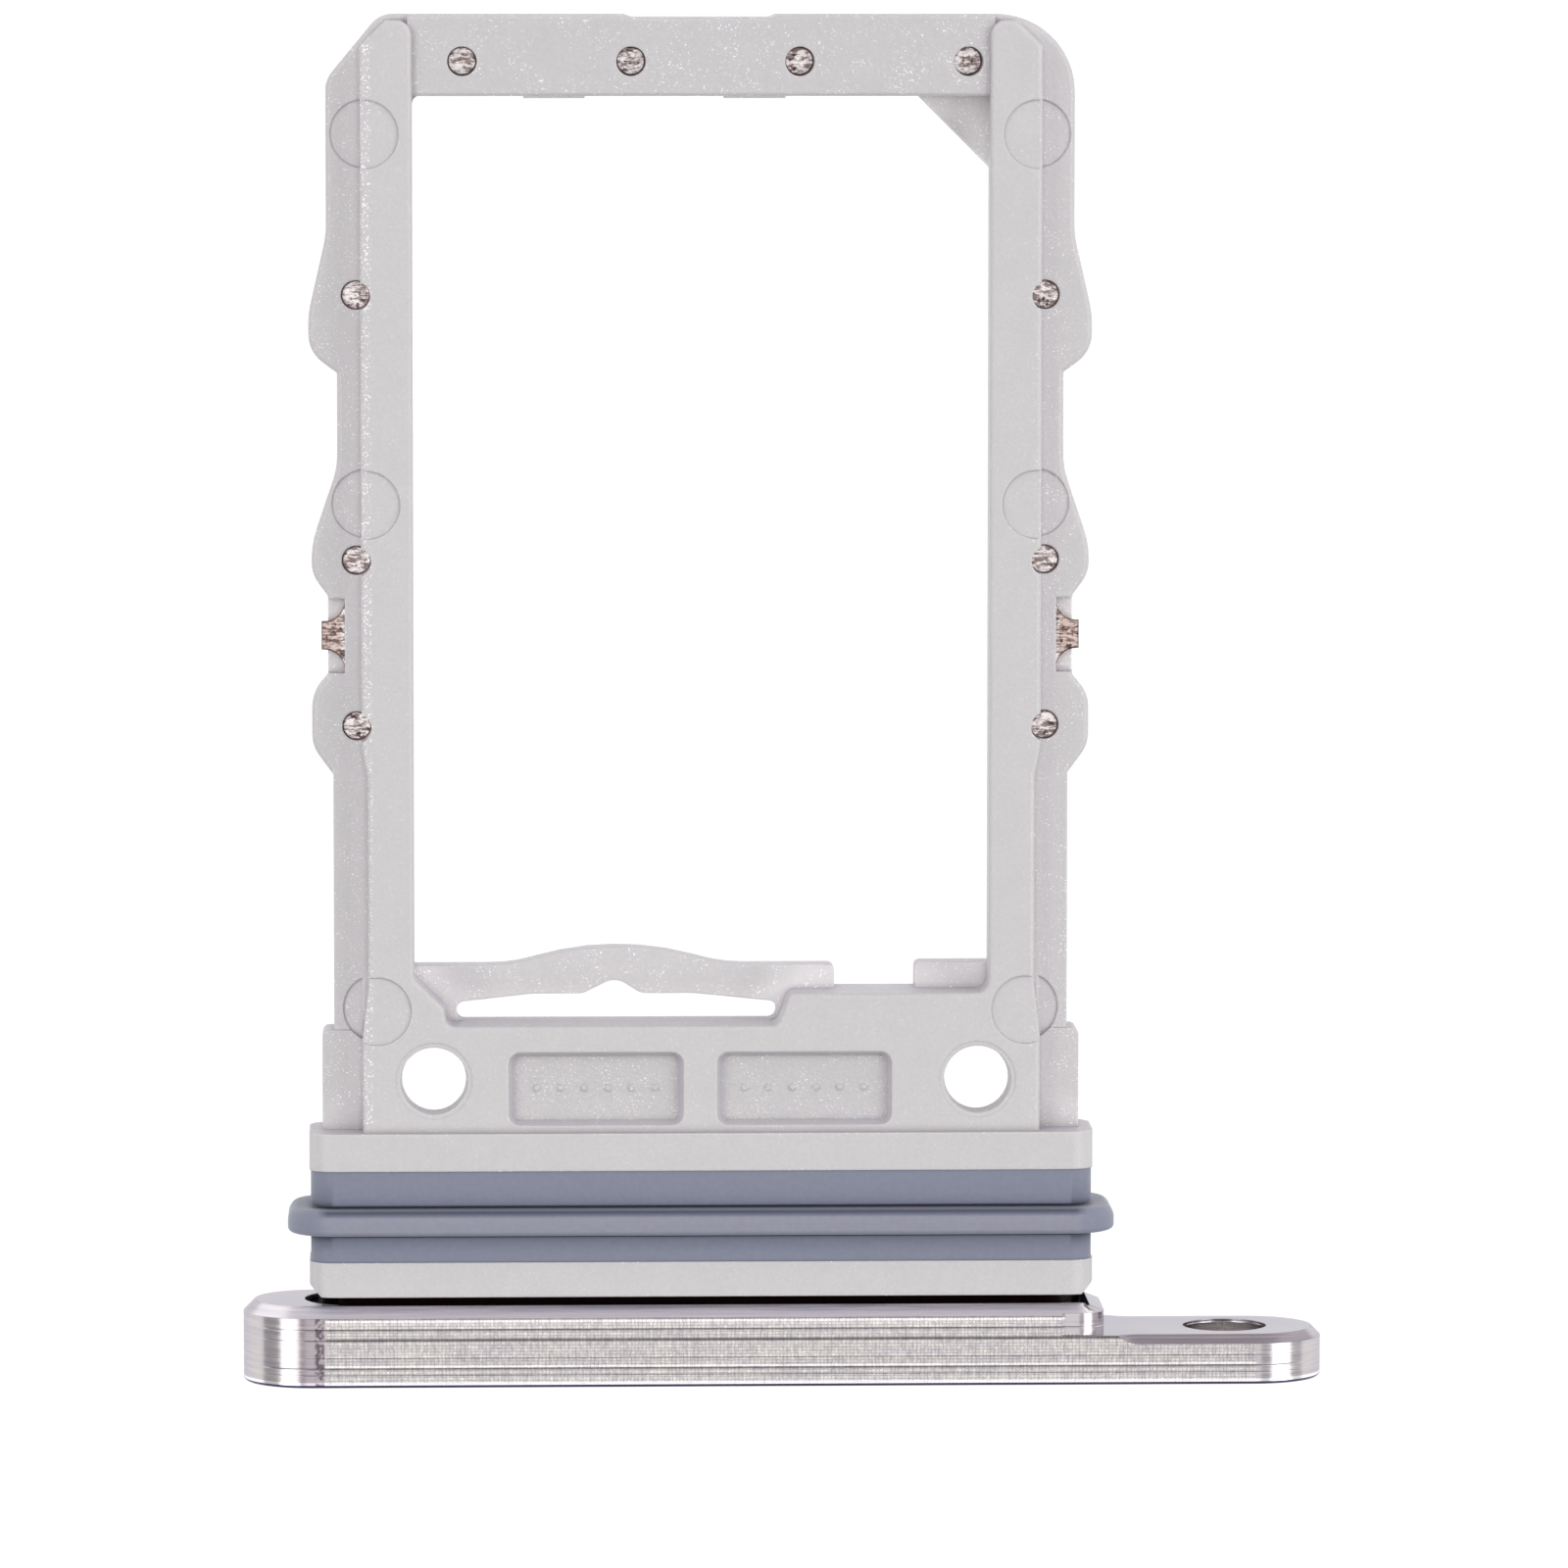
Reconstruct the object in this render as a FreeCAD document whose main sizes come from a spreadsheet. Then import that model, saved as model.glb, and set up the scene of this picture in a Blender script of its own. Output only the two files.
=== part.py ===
import FreeCAD, Part
import Sketcher
import math
import os

# A card tray of a phone: a machined face bar, a moulded frame that carries the card,
# a stamped steel sheet inside the moulding, and a soft sealing ring round its collar.
# X runs along the face bar, Y from the outer face of the bar into the phone, Z up.
# The drawing origin is the tray's centre line, the bar's outer face and mid thickness.

SIZES = [
    # Face bar
    ("cap_length", 15.5, "face bar from end to end"),
    ("cap_shift", 1.18, "middle of the face bar right of the tray's centre line"),
    ("cap_half", 1.0, "half thickness of the bar, and radius of its round ends"),
    ("cap_height", 1.16, "outer face to inner face of the raised block"),
    ("ear_height", 0.71, "outer face to inner face of the lower ear"),
    ("block_reach", 5.80, "tray's centre line to the end of the raised block"),
    ("block_corner", 0.43, "corner radius at the end of the raised block"),
    ("block_chamfer", 0.16, "chamfer round the block's inner face"),
    ("mill_start", 5.15, "centre line to the start of the milled end wall"),
    ("mill_depth", 0.03, "how far the milled end wall lies back"),
    ("ear_chamfer", 0.125, "chamfer round the ear's inner face"),
    ("ear_chamfer_start", 6.25, "centre line to the full depth of the ear's chamfer"),
    ("ear_mill_radius", 0.45, "radius of the cutter's run-in at the ear's chamfer"),
    ("face_bevel", 0.03, "bevel that breaks the outer face's edge"),
    ("pin_radius", 0.6, "radius of the hole for the eject pin"),
    ("pin_inset", 1.38, "centre of that hole to the right end of the bar"),
    ("socket_reach", 5.69, "centre line to the ends of the socket for the tongue"),
    ("socket_half", 0.80, "half thickness of the socket, and radius of its left end"),
    ("socket_corner", 0.20, "corner radius at the socket's right end"),
    ("socket_depth", 0.70, "depth of the socket from the block's inner face"),
    # Levels of the moulded frame, measured from mid thickness
    ("frame_top", 0.62, "top of the ridges and the base plate"),
    ("frame_bottom", 0.62, "mid thickness down to the underside"),
    ("bar_top", 0.50, "top of the end bar"),
    ("flange_top", 0.14, "top of the outer flanges"),
    ("pad_top", 0.17, "top of the side pads"),
    ("low_top", -0.14, "top of the spring, the stop and the corner web"),
    ("ledge_under", 0.08, "underside of the ledges that hold the card"),
    # How far layers reach into what carries them, and cuts past what they cut
    ("root_depth", 0.20, "how far the frame's layers reach into what carries them"),
    ("spill", 0.5, "how far the outline of a cut reaches past the surface"),
    # Lengths of the moulded frame, one after the other from the bar
    ("collar_gap", 0.11, "block's inner face to the collar"),
    ("collar_length", 2.35, "length of the collar"),
    ("plate_length", 1.525, "collar to the slot behind the spring"),
    ("spring_zone", 0.825, "that slot's near side to the card's pocket"),
    ("pocket_length", 12.43, "length of the card's pocket"),
    ("bar_width", 1.15, "width of the end bar"),
    ("dip_depth", 0.04, "dip in the middle of the bar's far edge"),
    ("dip_half", 0.98, "half length of that dip"),
    ("dip_run", 0.10, "length of the dip's sloped sides"),
    # Outline of the moulded frame, half widths
    ("side_half", 5.25, "near the base plate"),
    ("waist_half", 5.32, "beside the contact tabs"),
    ("lobe_half", 5.55, "at the two near lobes"),
    ("far_lobe_half", 5.585, "at the far lobe"),
    ("neck_half", 5.18, "between the middle lobe and the far lobe"),
    ("tip_half", 5.33, "at the end bar"),
    ("lobe_round", 0.50, "rounding of the lobes' steep ends"),
    ("lobe_ease", 1.30, "rounding of the lobes' long slopes"),
    ("near_lobe_foot", 5.10, "collar to the foot of the near lobe"),
    ("near_lobe_rise", 0.41, "length of the near lobe's first slope"),
    ("near_lobe_flat", 0.73, "length of the near lobe's flat"),
    ("near_lobe_fall", 0.27, "length of the near lobe's far slope"),
    ("waist_length", 1.15, "near lobe to the middle lobe"),
    ("mid_lobe_rise", 0.31, "length of the middle lobe's steep slope"),
    ("mid_lobe_flat", 0.42, "length of the middle lobe's flat"),
    ("mid_lobe_fall", 1.09, "length of the middle lobe's long slope"),
    ("neck_length", 1.36, "middle lobe to the far lobe"),
    ("far_lobe_rise", 0.30, "length of the far lobe's steep slope"),
    ("far_lobe_flat", 0.54, "length of the far lobe's flat"),
    ("far_lobe_fall", 1.12, "length of the far lobe's long slope"),
    ("corner_radius", 1.10, "far right corner"),
    ("bevel_run", 0.77, "far left corner's bevel across"),
    ("bevel_rise", 0.93, "far left corner's bevel along"),
    ("bevel_round", 0.40, "rounding of the bevel's ends"),
    ("edge_bevel", 0.05, "bevel of the outline's upper and lower edges"),
    # Ridges and base plate
    ("window_half", 4.10, "centre line to the inner faces of the rails"),
    ("window_corner", 0.12, "corner radius of the window"),
    ("ridge_half", 4.84, "centre line to the outer faces of the ridges"),
    ("ridge_waist", 4.755, "the same beside the spring"),
    ("ridge_jog", 5.10, "collar to the jog in the ridges"),
    ("ridge_jog_length", 0.42, "length of that jog"),
    ("ridge_foot", 1.40, "collar to the bend at the foot of the ridges"),
    ("ridge_foot_length", 0.70, "length of that bend"),
    ("ridge_bend", 0.30, "rounding of the ridges' bends"),
    ("ridge_inset", 0.08, "ridges' far ends short of the bar's far edge"),
    ("ridge_corner", 0.22, "inner far corner of the ridges"),
    ("ridge_bevel", 0.36, "outer far corner of the ridges"),
    ("top_round", 0.07, "rounding of the upper edges"),
    ("bar_bevel", 0.04, "bevel of the end bar's upper edges"),
    ("plate_step", 0.46, "the plate's higher part beyond its lower part"),
    ("plate_right", 1.25, "centre line to the higher part"),
    ("plate_slope", 0.16, "run of the edge that joins the two"),
    ("plate_left", 3.66, "centre line to the plate's left end"),
    ("root_rise", 0.25, "the plate's edge up beside the spring's root"),
    ("root_slope", 0.43, "the plate's edge up along the left rail"),
    ("plate_round", 0.13, "rounding of the plate's corners"),
    ("plate_fillet", 0.17, "the plate's fillet against the right rail"),
    # Lips on the end bar
    ("lip_reach", 0.045, "how far the two lips stand proud"),
    ("lip_length", 0.87, "length of each lip"),
    ("left_lip", -2.08, "middle of the left lip"),
    ("right_lip", 0.78, "middle of the right lip"),
    # Spring, stop and corner web, with heights above the slot's near side
    ("spring_base", 0.795, "the spring's far face"),
    ("spring_crest", 0.42, "where the slopes of its bulge would meet"),
    ("crest_x", -1.24, "the bulge's middle"),
    ("rise_x", -2.70, "start of the bulge"),
    ("fall_x", 0.32, "end of the bulge"),
    ("spring_tip", 1.92, "centre line to the spring's end"),
    ("crest_round", 4.2, "radius of the bulge"),
    ("rise_round", 2.2, "radius of the hollows beside the bulge"),
    ("tip_round", 0.085, "rounding at the spring's end"),
    ("slot_left", 3.50, "centre line to the slot's left end"),
    ("slot_right", 1.09, "centre line to the slot's right end"),
    ("slot_rise", 0.27, "slot's width at its ends"),
    ("slot_middle", 0.39, "slot's width beside the arch"),
    ("slot_arch", 0.62, "where the sides of the slot's arch would meet"),
    ("arch_x", -1.22, "middle of the arch"),
    ("arch_left", 0.47, "half length of the arch on the left"),
    ("arch_right", 0.37, "half length of the arch on the right"),
    ("slot_bend_left", -2.40, "bend in the slot's far side on the left"),
    ("slot_bend_right", -0.10, "bend in the slot's far side on the right"),
    ("slot_round", 0.12, "rounding of the slot's ends"),
    ("arch_round", 0.28, "rounding of the arch"),
    ("bend_round", 1.5, "rounding of the bends"),
    ("stop_left", 3.08, "centre line to the stop beside the right rail"),
    ("stop_round", 0.085, "rounding of the stop"),
    ("web_start", 3.10, "centre line to the corner web along the bar"),
    ("card_half", 4.45, "centre line to the pocket's sides"),
    ("card_corner", 0.10, "corner radius of the pocket"),
    # Collar, tongue and side pads
    ("collar_half", 5.61, "half width of the collar"),
    ("collar_thick", 0.76, "half thickness of the collar"),
    ("collar_corner", 0.35, "corner radius of the collar's section"),
    ("collar_bevel", 0.17, "bevel at the collar's near corners"),
    ("tongue_half", 5.20, "half width of the tongue in the bar's socket"),
    ("tongue_thick", 0.35, "half thickness of the tongue"),
    ("pad_half", 5.42, "half width over the side pads"),
    ("pad_length", 1.43, "length of the side pads from the collar"),
    ("pad_round", 0.09, "rounding of the side pads"),
    # Sealing ring
    ("seal_start", 0.50, "collar's near end to the sealing ring"),
    ("seal_width", 1.31, "width of the sealing ring"),
    ("seal_seat", 0.20, "depth of its groove in the collar"),
    ("seal_clearance", 0.02, "ring's surface below the collar's"),
    ("bead_reach", 0.31, "how far the bead stands out of the collar"),
    ("bead_width", 0.36, "width of the bead"),
    ("bead_offset", 0.59, "near end of the ring to the bead's middle"),
    ("bead_round", 0.14, "rounding of the bead"),
    # Steel sheet
    ("sheet_top", 0.06, "top of the sheet"),
    ("sheet_thick", 0.15, "thickness of the sheet"),
    ("sheet_half", 4.98, "centre line to its outer edge"),
    ("sheet_ear", 5.15, "the same beside the round windows"),
    ("sheet_ear_half", 0.35, "half length of those ears"),
    ("sheet_window", 4.62, "centre line to its inner edge"),
    ("sheet_margin", 0.25, "sheet inside the bar's far edge"),
    ("sheet_gap", 0.22, "sheet outside the pocket's far end"),
    ("sheet_plate", 0.165, "sheet short of the plate's edge"),
    ("sheet_tail", 4.60, "half width of its tail in the collar"),
    ("sheet_short", 0.12, "tail short of the tongue's tip"),
    ("sheet_corner", 0.95, "its outer far corners"),
    ("sheet_shoulder", 0.30, "collar to the sheet's full width"),
    ("sheet_window_corner", 0.20, "corners of its window"),
    ("tab_reach", 5.41, "centre line to the contact tabs' ends"),
    ("tab_root", 5.08, "centre line to the notch round each tab"),
    ("tab_half", 0.20, "half width of each tab"),
    ("tab_flare", 0.30, "radius of the tab's flare"),
    ("notch_half", 0.535, "half length of the notch"),
    ("notch_overlap", 0.04, "sheet's wider stretch past the notch's ends"),
    ("tab_place", 7.09, "collar to the middle of the tabs"),
    # Round windows over the sheet, locating holes and recesses
    ("peep_radius", 0.21, "radius of the round windows"),
    ("peep_half", 4.91, "centre line to the windows in the rails"),
    ("near_peep", 5.80, "collar to the near windows in the rails"),
    ("mid_peep", 8.17, "collar to the middle ones"),
    ("far_peep", 11.95, "collar to the far ones"),
    ("bar_peep", 0.49, "window's edge of the bar to its round windows"),
    ("bar_peep_first", -3.39, "first round window in the bar"),
    ("bar_peep_pitch", 2.395, "spacing of those windows"),
    ("bar_peep_count", 4, "number of those windows"),
    ("locator_radius", 0.46, "radius of the two locating holes"),
    ("locator_half", 3.885, "half the distance between those holes"),
    ("locator_shift", 0.06, "middle of those holes right of the centre line"),
    ("locator_inset", 0.78, "those holes from the plate's edge"),
    ("recess_length", 2.51, "length of each recess in the plate"),
    ("recess_width", 1.06, "width of each recess"),
    ("recess_depth", 0.16, "depth of each recess"),
    ("recess_corner", 0.17, "corner radius of each recess"),
    ("recess_draft", 25, "slope of the recess walls in degrees"),
    ("recess_inset", 0.90, "middle of the recesses from the plate's edge"),
    ("left_recess", -1.51, "middle of the left recess"),
    ("right_recess", 1.47, "middle of the right recess"),
]

doc = FreeCAD.newDocument("sim_card_tray")
sheet = doc.addObject("Spreadsheet::Sheet", "Sizes")
for row, (word, number, meaning) in enumerate(SIZES, start=1):
    sheet.set(f"A{row}", meaning)
    sheet.set(f"B{row}", str(number))
    sheet.setAlias(f"B{row}", word)
doc.recompute()


def of(word):
    """The name of a size, as the formulas write it."""
    return "Sizes." + word


def worth(formula):
    """The number that a formula of sizes comes to."""
    return float(sheet.evalExpression(formula))


def minus(formula):
    return f"-({formula})"


def plus(*formulas):
    return " + ".join(f"({formula})" for formula in formulas)


# Places along Y and levels along Z, each the sum of the lengths before it
CAP_RIGHT = "Sizes.cap_shift + Sizes.cap_length / 2"
CAP_LEFT = "Sizes.cap_shift - Sizes.cap_length / 2"
SOCKET_FLOOR = "Sizes.cap_height - Sizes.socket_depth"
COLLAR_START = "Sizes.cap_height + Sizes.collar_gap"
COLLAR_END = plus(COLLAR_START, of("collar_length"))
PLATE_EDGE = plus(COLLAR_END, of("plate_length"))
POCKET_START = plus(PLATE_EDGE, of("spring_zone"))
BAR_START = plus(POCKET_START, of("pocket_length"))
BAR_END = plus(BAR_START, of("bar_width"))
SEAL_START = plus(COLLAR_START, of("seal_start"))
UNDERSIDE = minus(of("frame_bottom"))
SHEET_UNDER = "Sizes.sheet_top - Sizes.sheet_thick"
FRAME_LEVELS = "Sizes.frame_top + Sizes.frame_bottom"
BEAD_HALF = "Sizes.collar_thick + Sizes.bead_reach"
TAB_MIDDLE = plus(COLLAR_END, of("tab_place"))
SPILL = "Sizes.spill"

UP = FreeCAD.Vector(0, 0, 1)
HALF_TURN, FULL_TURN = 180, 360
CLOSE = 1e-4


def new_body(label):
    """A sub-part, moved so that the tray's origin is under the middle of its outline."""
    body = doc.addObject("PartDesign::Body", label)
    body.Label = label
    body.setExpression("Placement.Base.x", minus(of("cap_shift")))
    body.setExpression("Placement.Base.y", minus(f"({BAR_END}) / 2"))
    body.setExpression("Placement.Base.z", BEAD_HALF)
    return body


def new_sketch(body, name, role, offset="0"):
    """A sketch on one of the body's own planes, moved along X, Y or Z by the offset."""
    plane = next(p for p in body.Origin.OriginFeatures if p.Role == role)
    sketch = body.newObject("Sketcher::SketchObject", name)
    sketch.AttachmentSupport = (plane, [""])
    sketch.MapMode = "FlatFace"
    along = minus(offset) if role == "XZ_Plane" else offset
    sketch.setExpression("AttachmentOffset.Base.z", along)
    return sketch


def held(kind, *places, by=None):
    """A constraint, with the formula of its size where it has one."""
    number = () if by is None else (worth(by),)
    return Sketcher.Constraint(kind, *places, *number), by


def held_point(geometry, end, x, y):
    """A point of the sketch, held at x and y from its origin."""
    return [held("DistanceX", -1, 1, geometry, end, by=x), held("DistanceY", -1, 1, geometry, end, by=y)]


def constrain(sketch, pairs):
    """Add constraints together, which solves the sketch once, and tie them to the sizes."""
    first = sketch.ConstraintCount
    sketch.addConstraint([constraint for constraint, formula in pairs])
    for index, (constraint, formula) in enumerate(pairs, start=first):
        if formula is not None:
            sketch.setExpression(f"Constraints[{index}]", formula)


def round_corner(place, before, after, radius):
    """The arc of a rounded corner, and which of its ends comes first along the outline."""
    back = (before - place).normalize()
    ahead = (after - place).normalize()
    half = back.getAngle(ahead) / 2
    centre = place + (back + ahead).normalize() * (radius / math.sin(half))
    first = place + back * (radius / math.tan(half))
    last = place + ahead * (radius / math.tan(half))
    left_turn = back.cross(ahead).z < 0
    start, stop = (first, last) if left_turn else (last, first)
    angles = [math.atan2(p.y - centre.y, p.x - centre.x) for p in (start, stop)]
    if angles[1] < angles[0]:
        angles[1] += 2 * math.pi
    arc = Part.ArcOfCircle(Part.Circle(centre, UP, radius), *angles)
    return arc, first, last, (1, 2) if left_turn else (2, 1)


def draw_outline(sketch, corners):
    """A closed outline through corners (x, y) or (x, y, radius), tied to the sizes."""
    places = [FreeCAD.Vector(worth(c[0]), worth(c[1]), 0) for c in corners]
    count = len(corners)
    arcs = {}
    leave = list(places)
    arrive = list(places)
    for i, corner in enumerate(corners):
        if len(corner) == 3:
            beside = (places[i], places[i - 1], places[(i + 1) % count])
            arc, arrive[i], leave[i], ends = round_corner(*beside, worth(corner[2]))
            arcs[i] = (sketch.addGeometry(arc, False), ends)
    lines = []
    for i in range(count):
        line = Part.LineSegment(leave[i], arrive[(i + 1) % count])
        lines.append(sketch.addGeometry(line, False))
    pairs = []
    for i, corner in enumerate(corners):
        coming, going = lines[i - 1], lines[i]
        if i not in arcs:
            pairs.append(held("Coincident", coming, 2, going, 1))
            pairs += held_point(going, 1, corner[0], corner[1])
            continue
        arc, (entry, exit_end) = arcs[i]
        sharp = sketch.addGeometry(Part.Point(places[i]), True)
        pairs += [
            held("Tangent", coming, 2, arc, entry), held("Tangent", arc, exit_end, going, 1),
            held("PointOnObject", sharp, 1, coming), held("PointOnObject", sharp, 1, going),
            held("Radius", arc, by=corner[2])]
        pairs += held_point(sharp, 1, corner[0], corner[1])
    constrain(sketch, pairs)


def draw_box(sketch, left, right, low, high, radius=None):
    corners = [(left, low), (right, low), (right, high), (left, high)]
    draw_outline(sketch, [c + (radius,) if radius else c for c in corners])


def draw_circle(sketch, x, y, radius):
    middle = FreeCAD.Vector(worth(x), worth(y), 0)
    circle = Part.Circle(middle, UP, worth(radius))
    index = sketch.addGeometry(circle, False)
    constrain(sketch, held_point(index, 3, x, y) + [held("Radius", index, by=radius)])


def arc_about(centre, radius, first, last):
    return Part.ArcOfCircle(Part.Circle(centre, UP, radius), first, last)


def line_between(x1, y1, x2, y2):
    return Part.LineSegment(FreeCAD.Vector(x1, y1, 0), FreeCAD.Vector(x2, y2, 0))


def draw_round_ended(sketch, left, right, half, corner=None):
    """A bar with a full round left end, and a round or round-cornered right end."""
    quarter = math.pi / 2
    thick = worth(half)
    radius = worth(corner) if corner else thick
    from_x, to_x = worth(left) + thick, worth(right) - radius
    inner = thick - radius
    bow = sketch.addGeometry(arc_about(FreeCAD.Vector(from_x, 0, 0), thick, quarter, 3 * quarter), False)
    under = sketch.addGeometry(arc_about(FreeCAD.Vector(to_x, -inner, 0), radius, -quarter, 0), False)
    over = sketch.addGeometry(arc_about(FreeCAD.Vector(to_x, inner, 0), radius, 0, quarter), False)
    low = sketch.addGeometry(line_between(from_x, -thick, to_x, -thick), False)
    high = sketch.addGeometry(line_between(to_x, thick, from_x, thick), False)
    links = [(bow, 2, low, 1), (low, 2, under, 1), (over, 2, high, 1), (high, 2, bow, 1)]
    pairs = [
        held("PointOnObject", bow, 3, -1), held("Equal", under, over), held("Radius", bow, by=half),
        held("DistanceX", -1, 1, bow, 3, by=f"{left} + {half}")]
    if corner:
        end = sketch.addGeometry(line_between(worth(right), -inner, worth(right), inner), False)
        links += [(under, 2, end, 1), (end, 2, over, 1)]
        pairs += [held("DistanceX", -1, 1, end, 1, by=right), held("Radius", under, by=corner)]
    else:
        links.append((under, 2, over, 1))
        pairs.append(held("DistanceX", -1, 1, under, 3, by=f"{right} - {half}"))
    constrain(sketch, [held("Tangent", *link) for link in links] + pairs)


def raise_pad(body, sketch, length, backwards=False):
    pad = body.newObject("PartDesign::Pad", sketch.Name + "Pad")
    pad.Profile = sketch
    pad.Reversed = backwards
    pad.setExpression("Length", length)
    doc.recompute()
    return pad


def check_cut(body, before):
    """A cut that takes nothing away points the wrong way."""
    if not body.Shape.Volume < before:
        raise ValueError(f"{body.Tip.Name} takes nothing away")


def cut_pocket(body, sketch, depth, backwards=False, draft=None):
    before = body.Shape.Volume
    pocket = body.newObject("PartDesign::Pocket", sketch.Name + "Pocket")
    pocket.Profile = sketch
    pocket.Reversed = backwards
    pocket.setExpression("Length", depth)
    if draft:
        pocket.setExpression("TaperAngle", draft)
    doc.recompute()
    check_cut(body, before)
    return pocket


def edges_where(feature, test):
    """Names of the feature's edges whose middle and ends all pass the test."""
    names = []
    for number, edge in enumerate(feature.Shape.Edges, start=1):
        middle = edge.valueAt((edge.FirstParameter + edge.LastParameter) / 2)
        points = [middle] + [v.Point for v in edge.Vertexes]
        if all(test(p) for p in points):
            names.append(f"Edge{number}")
    return names


def near(number, formula):
    return abs(number - worth(formula)) < CLOSE


def soften(body, kind, feature, test, size):
    """Round or chamfer the edges that pass the test."""
    dressing = body.newObject(f"PartDesign::{kind}", feature.Name + kind)
    dressing.Base = (feature, edges_where(feature, test))
    dressing.setExpression("Radius" if kind == "Fillet" else "Size", size)
    doc.recompute()
    return dressing


# The face bar, milled from solid
def make_cap():
    body = new_body("cap")
    outline = new_sketch(body, "EarOutline", "XZ_Plane")
    draw_round_ended(outline, CAP_LEFT, CAP_RIGHT, of("cap_half"))
    ear = raise_pad(body, outline, of("ear_height"), True)
    soften(body, "Chamfer", ear, lambda p: near(p.y, "0"), of("face_bevel"))

    outline = new_sketch(body, "BlockOutline", "XZ_Plane", of("ear_height"))
    draw_round_ended(outline, CAP_LEFT, of("block_reach"), of("cap_half"), of("block_corner"))
    block = raise_pad(body, outline, "Sizes.cap_height - Sizes.ear_height", True)
    inner_face = lambda p: near(p.y, of("cap_height"))
    soften(body, "Chamfer", block, inner_face, of("block_chamfer"))

    wall = "Sizes.cap_half - Sizes.mill_depth"
    wall_end = "Sizes.block_reach - Sizes.mill_depth"
    wall_corner = "Sizes.block_corner - Sizes.mill_depth"
    far, beyond = plus(of("block_reach"), SPILL), plus(of("cap_half"), SPILL)
    mill = new_sketch(body, "MilledEnd", "XZ_Plane", of("ear_height"))
    draw_outline(mill, [
        (of("mill_start"), beyond), (of("mill_start"), wall),
        (wall_end, wall, wall_corner), (wall_end, minus(wall), wall_corner),
        (of("mill_start"), minus(wall)), (of("mill_start"), minus(beyond)),
        (far, minus(beyond)), (far, beyond)])
    cut_pocket(body, mill, of("cap_height"))

    make_ear_chamfer(body)

    socket = new_sketch(body, "Socket", "XZ_Plane", SOCKET_FLOOR)
    reach, half = of("socket_reach"), of("socket_half")
    draw_round_ended(socket, minus(reach), reach, half, of("socket_corner"))
    cut_pocket(body, socket, of("cap_height"))

    hole = new_sketch(body, "PinHole", "XZ_Plane")
    draw_circle(hole, f"{CAP_RIGHT} - Sizes.pin_inset", "0", of("pin_radius"))
    cut_pocket(body, hole, of("cap_height"))
    return body


# The ear's chamfer, cut by a cone-shaped mill that runs in from the side
def make_ear_chamfer(body):
    end_centre = f"{CAP_RIGHT} - Sizes.cap_half"
    floor = "Sizes.ear_height - Sizes.ear_chamfer"
    rim = "Sizes.cap_half - Sizes.ear_chamfer"
    straight = new_sketch(body, "EarChamferSides", "YZ_Plane", of("ear_chamfer_start"))
    for side in (1, -1):
        out = [f"{side} * ({z})" for z in (rim, of("cap_half"), "Sizes.cap_half + Sizes.ear_chamfer")]
        high = plus(of("ear_height"), of("ear_chamfer"))
        draw_outline(straight, [
            (of("ear_height"), out[0]), (floor, out[1]), (floor, out[2]), (high, out[2]), (high, out[0])])
    cut_pocket(body, straight, f"{end_centre} - Sizes.ear_chamfer_start", True)

    before = body.Shape.Volume
    round_end = new_sketch(body, "EarChamferEnd", "YZ_Plane", end_centre)
    high = plus(of("ear_height"), of("ear_chamfer"))
    wide = "Sizes.cap_half + Sizes.ear_chamfer"
    draw_outline(round_end, [
        (of("ear_height"), rim), (floor, of("cap_half")), (floor, wide), (high, wide), (high, rim)])
    groove = body.newObject("PartDesign::Groove", "EarChamferGroove")
    groove.Profile = round_end
    groove.ReferenceAxis = (round_end, ["H_Axis"])
    groove.Angle = HALF_TURN
    doc.recompute()
    check_cut(body, before)

    before = body.Shape.Volume
    run_in = new_sketch(body, "EarChamferRunIn", "YZ_Plane", of("ear_chamfer_start"))
    centre = plus(rim, of("ear_mill_radius"))
    draw_outline(run_in, [
        (of("ear_height"), rim), (floor, of("cap_half")), (floor, centre), (high, centre), (high, rim)])
    cutter_axis = "Edge3"
    cone = body.newObject("PartDesign::Groove", "EarChamferCone")
    cone.Profile = run_in
    cone.ReferenceAxis = (run_in, [cutter_axis])
    cone.Angle = FULL_TURN
    mirror = body.newObject("PartDesign::Mirrored", "EarChamferMirror")
    mirror.Originals = [cone]
    plane = next(p for p in body.Origin.OriginFeatures if p.Role == "XY_Plane")
    mirror.MirrorPlane = (plane, [""])
    body.Tip = mirror
    doc.recompute()
    check_cut(body, before)


def mirrored(corners):
    """The same corners on the left, in the order that goes on round the outline."""
    return [(minus(c[0]), *c[1:]) for c in reversed(corners)]


def climb(start, steps):
    """Corners up one side: each step is a half width, a length along Y and maybe a rounding."""
    corners = []
    place = start
    for half, length, *rounding in steps:
        place = plus(place, of(length))
        corners.append((of(half), place, *map(of, rounding)))
    return corners


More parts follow.
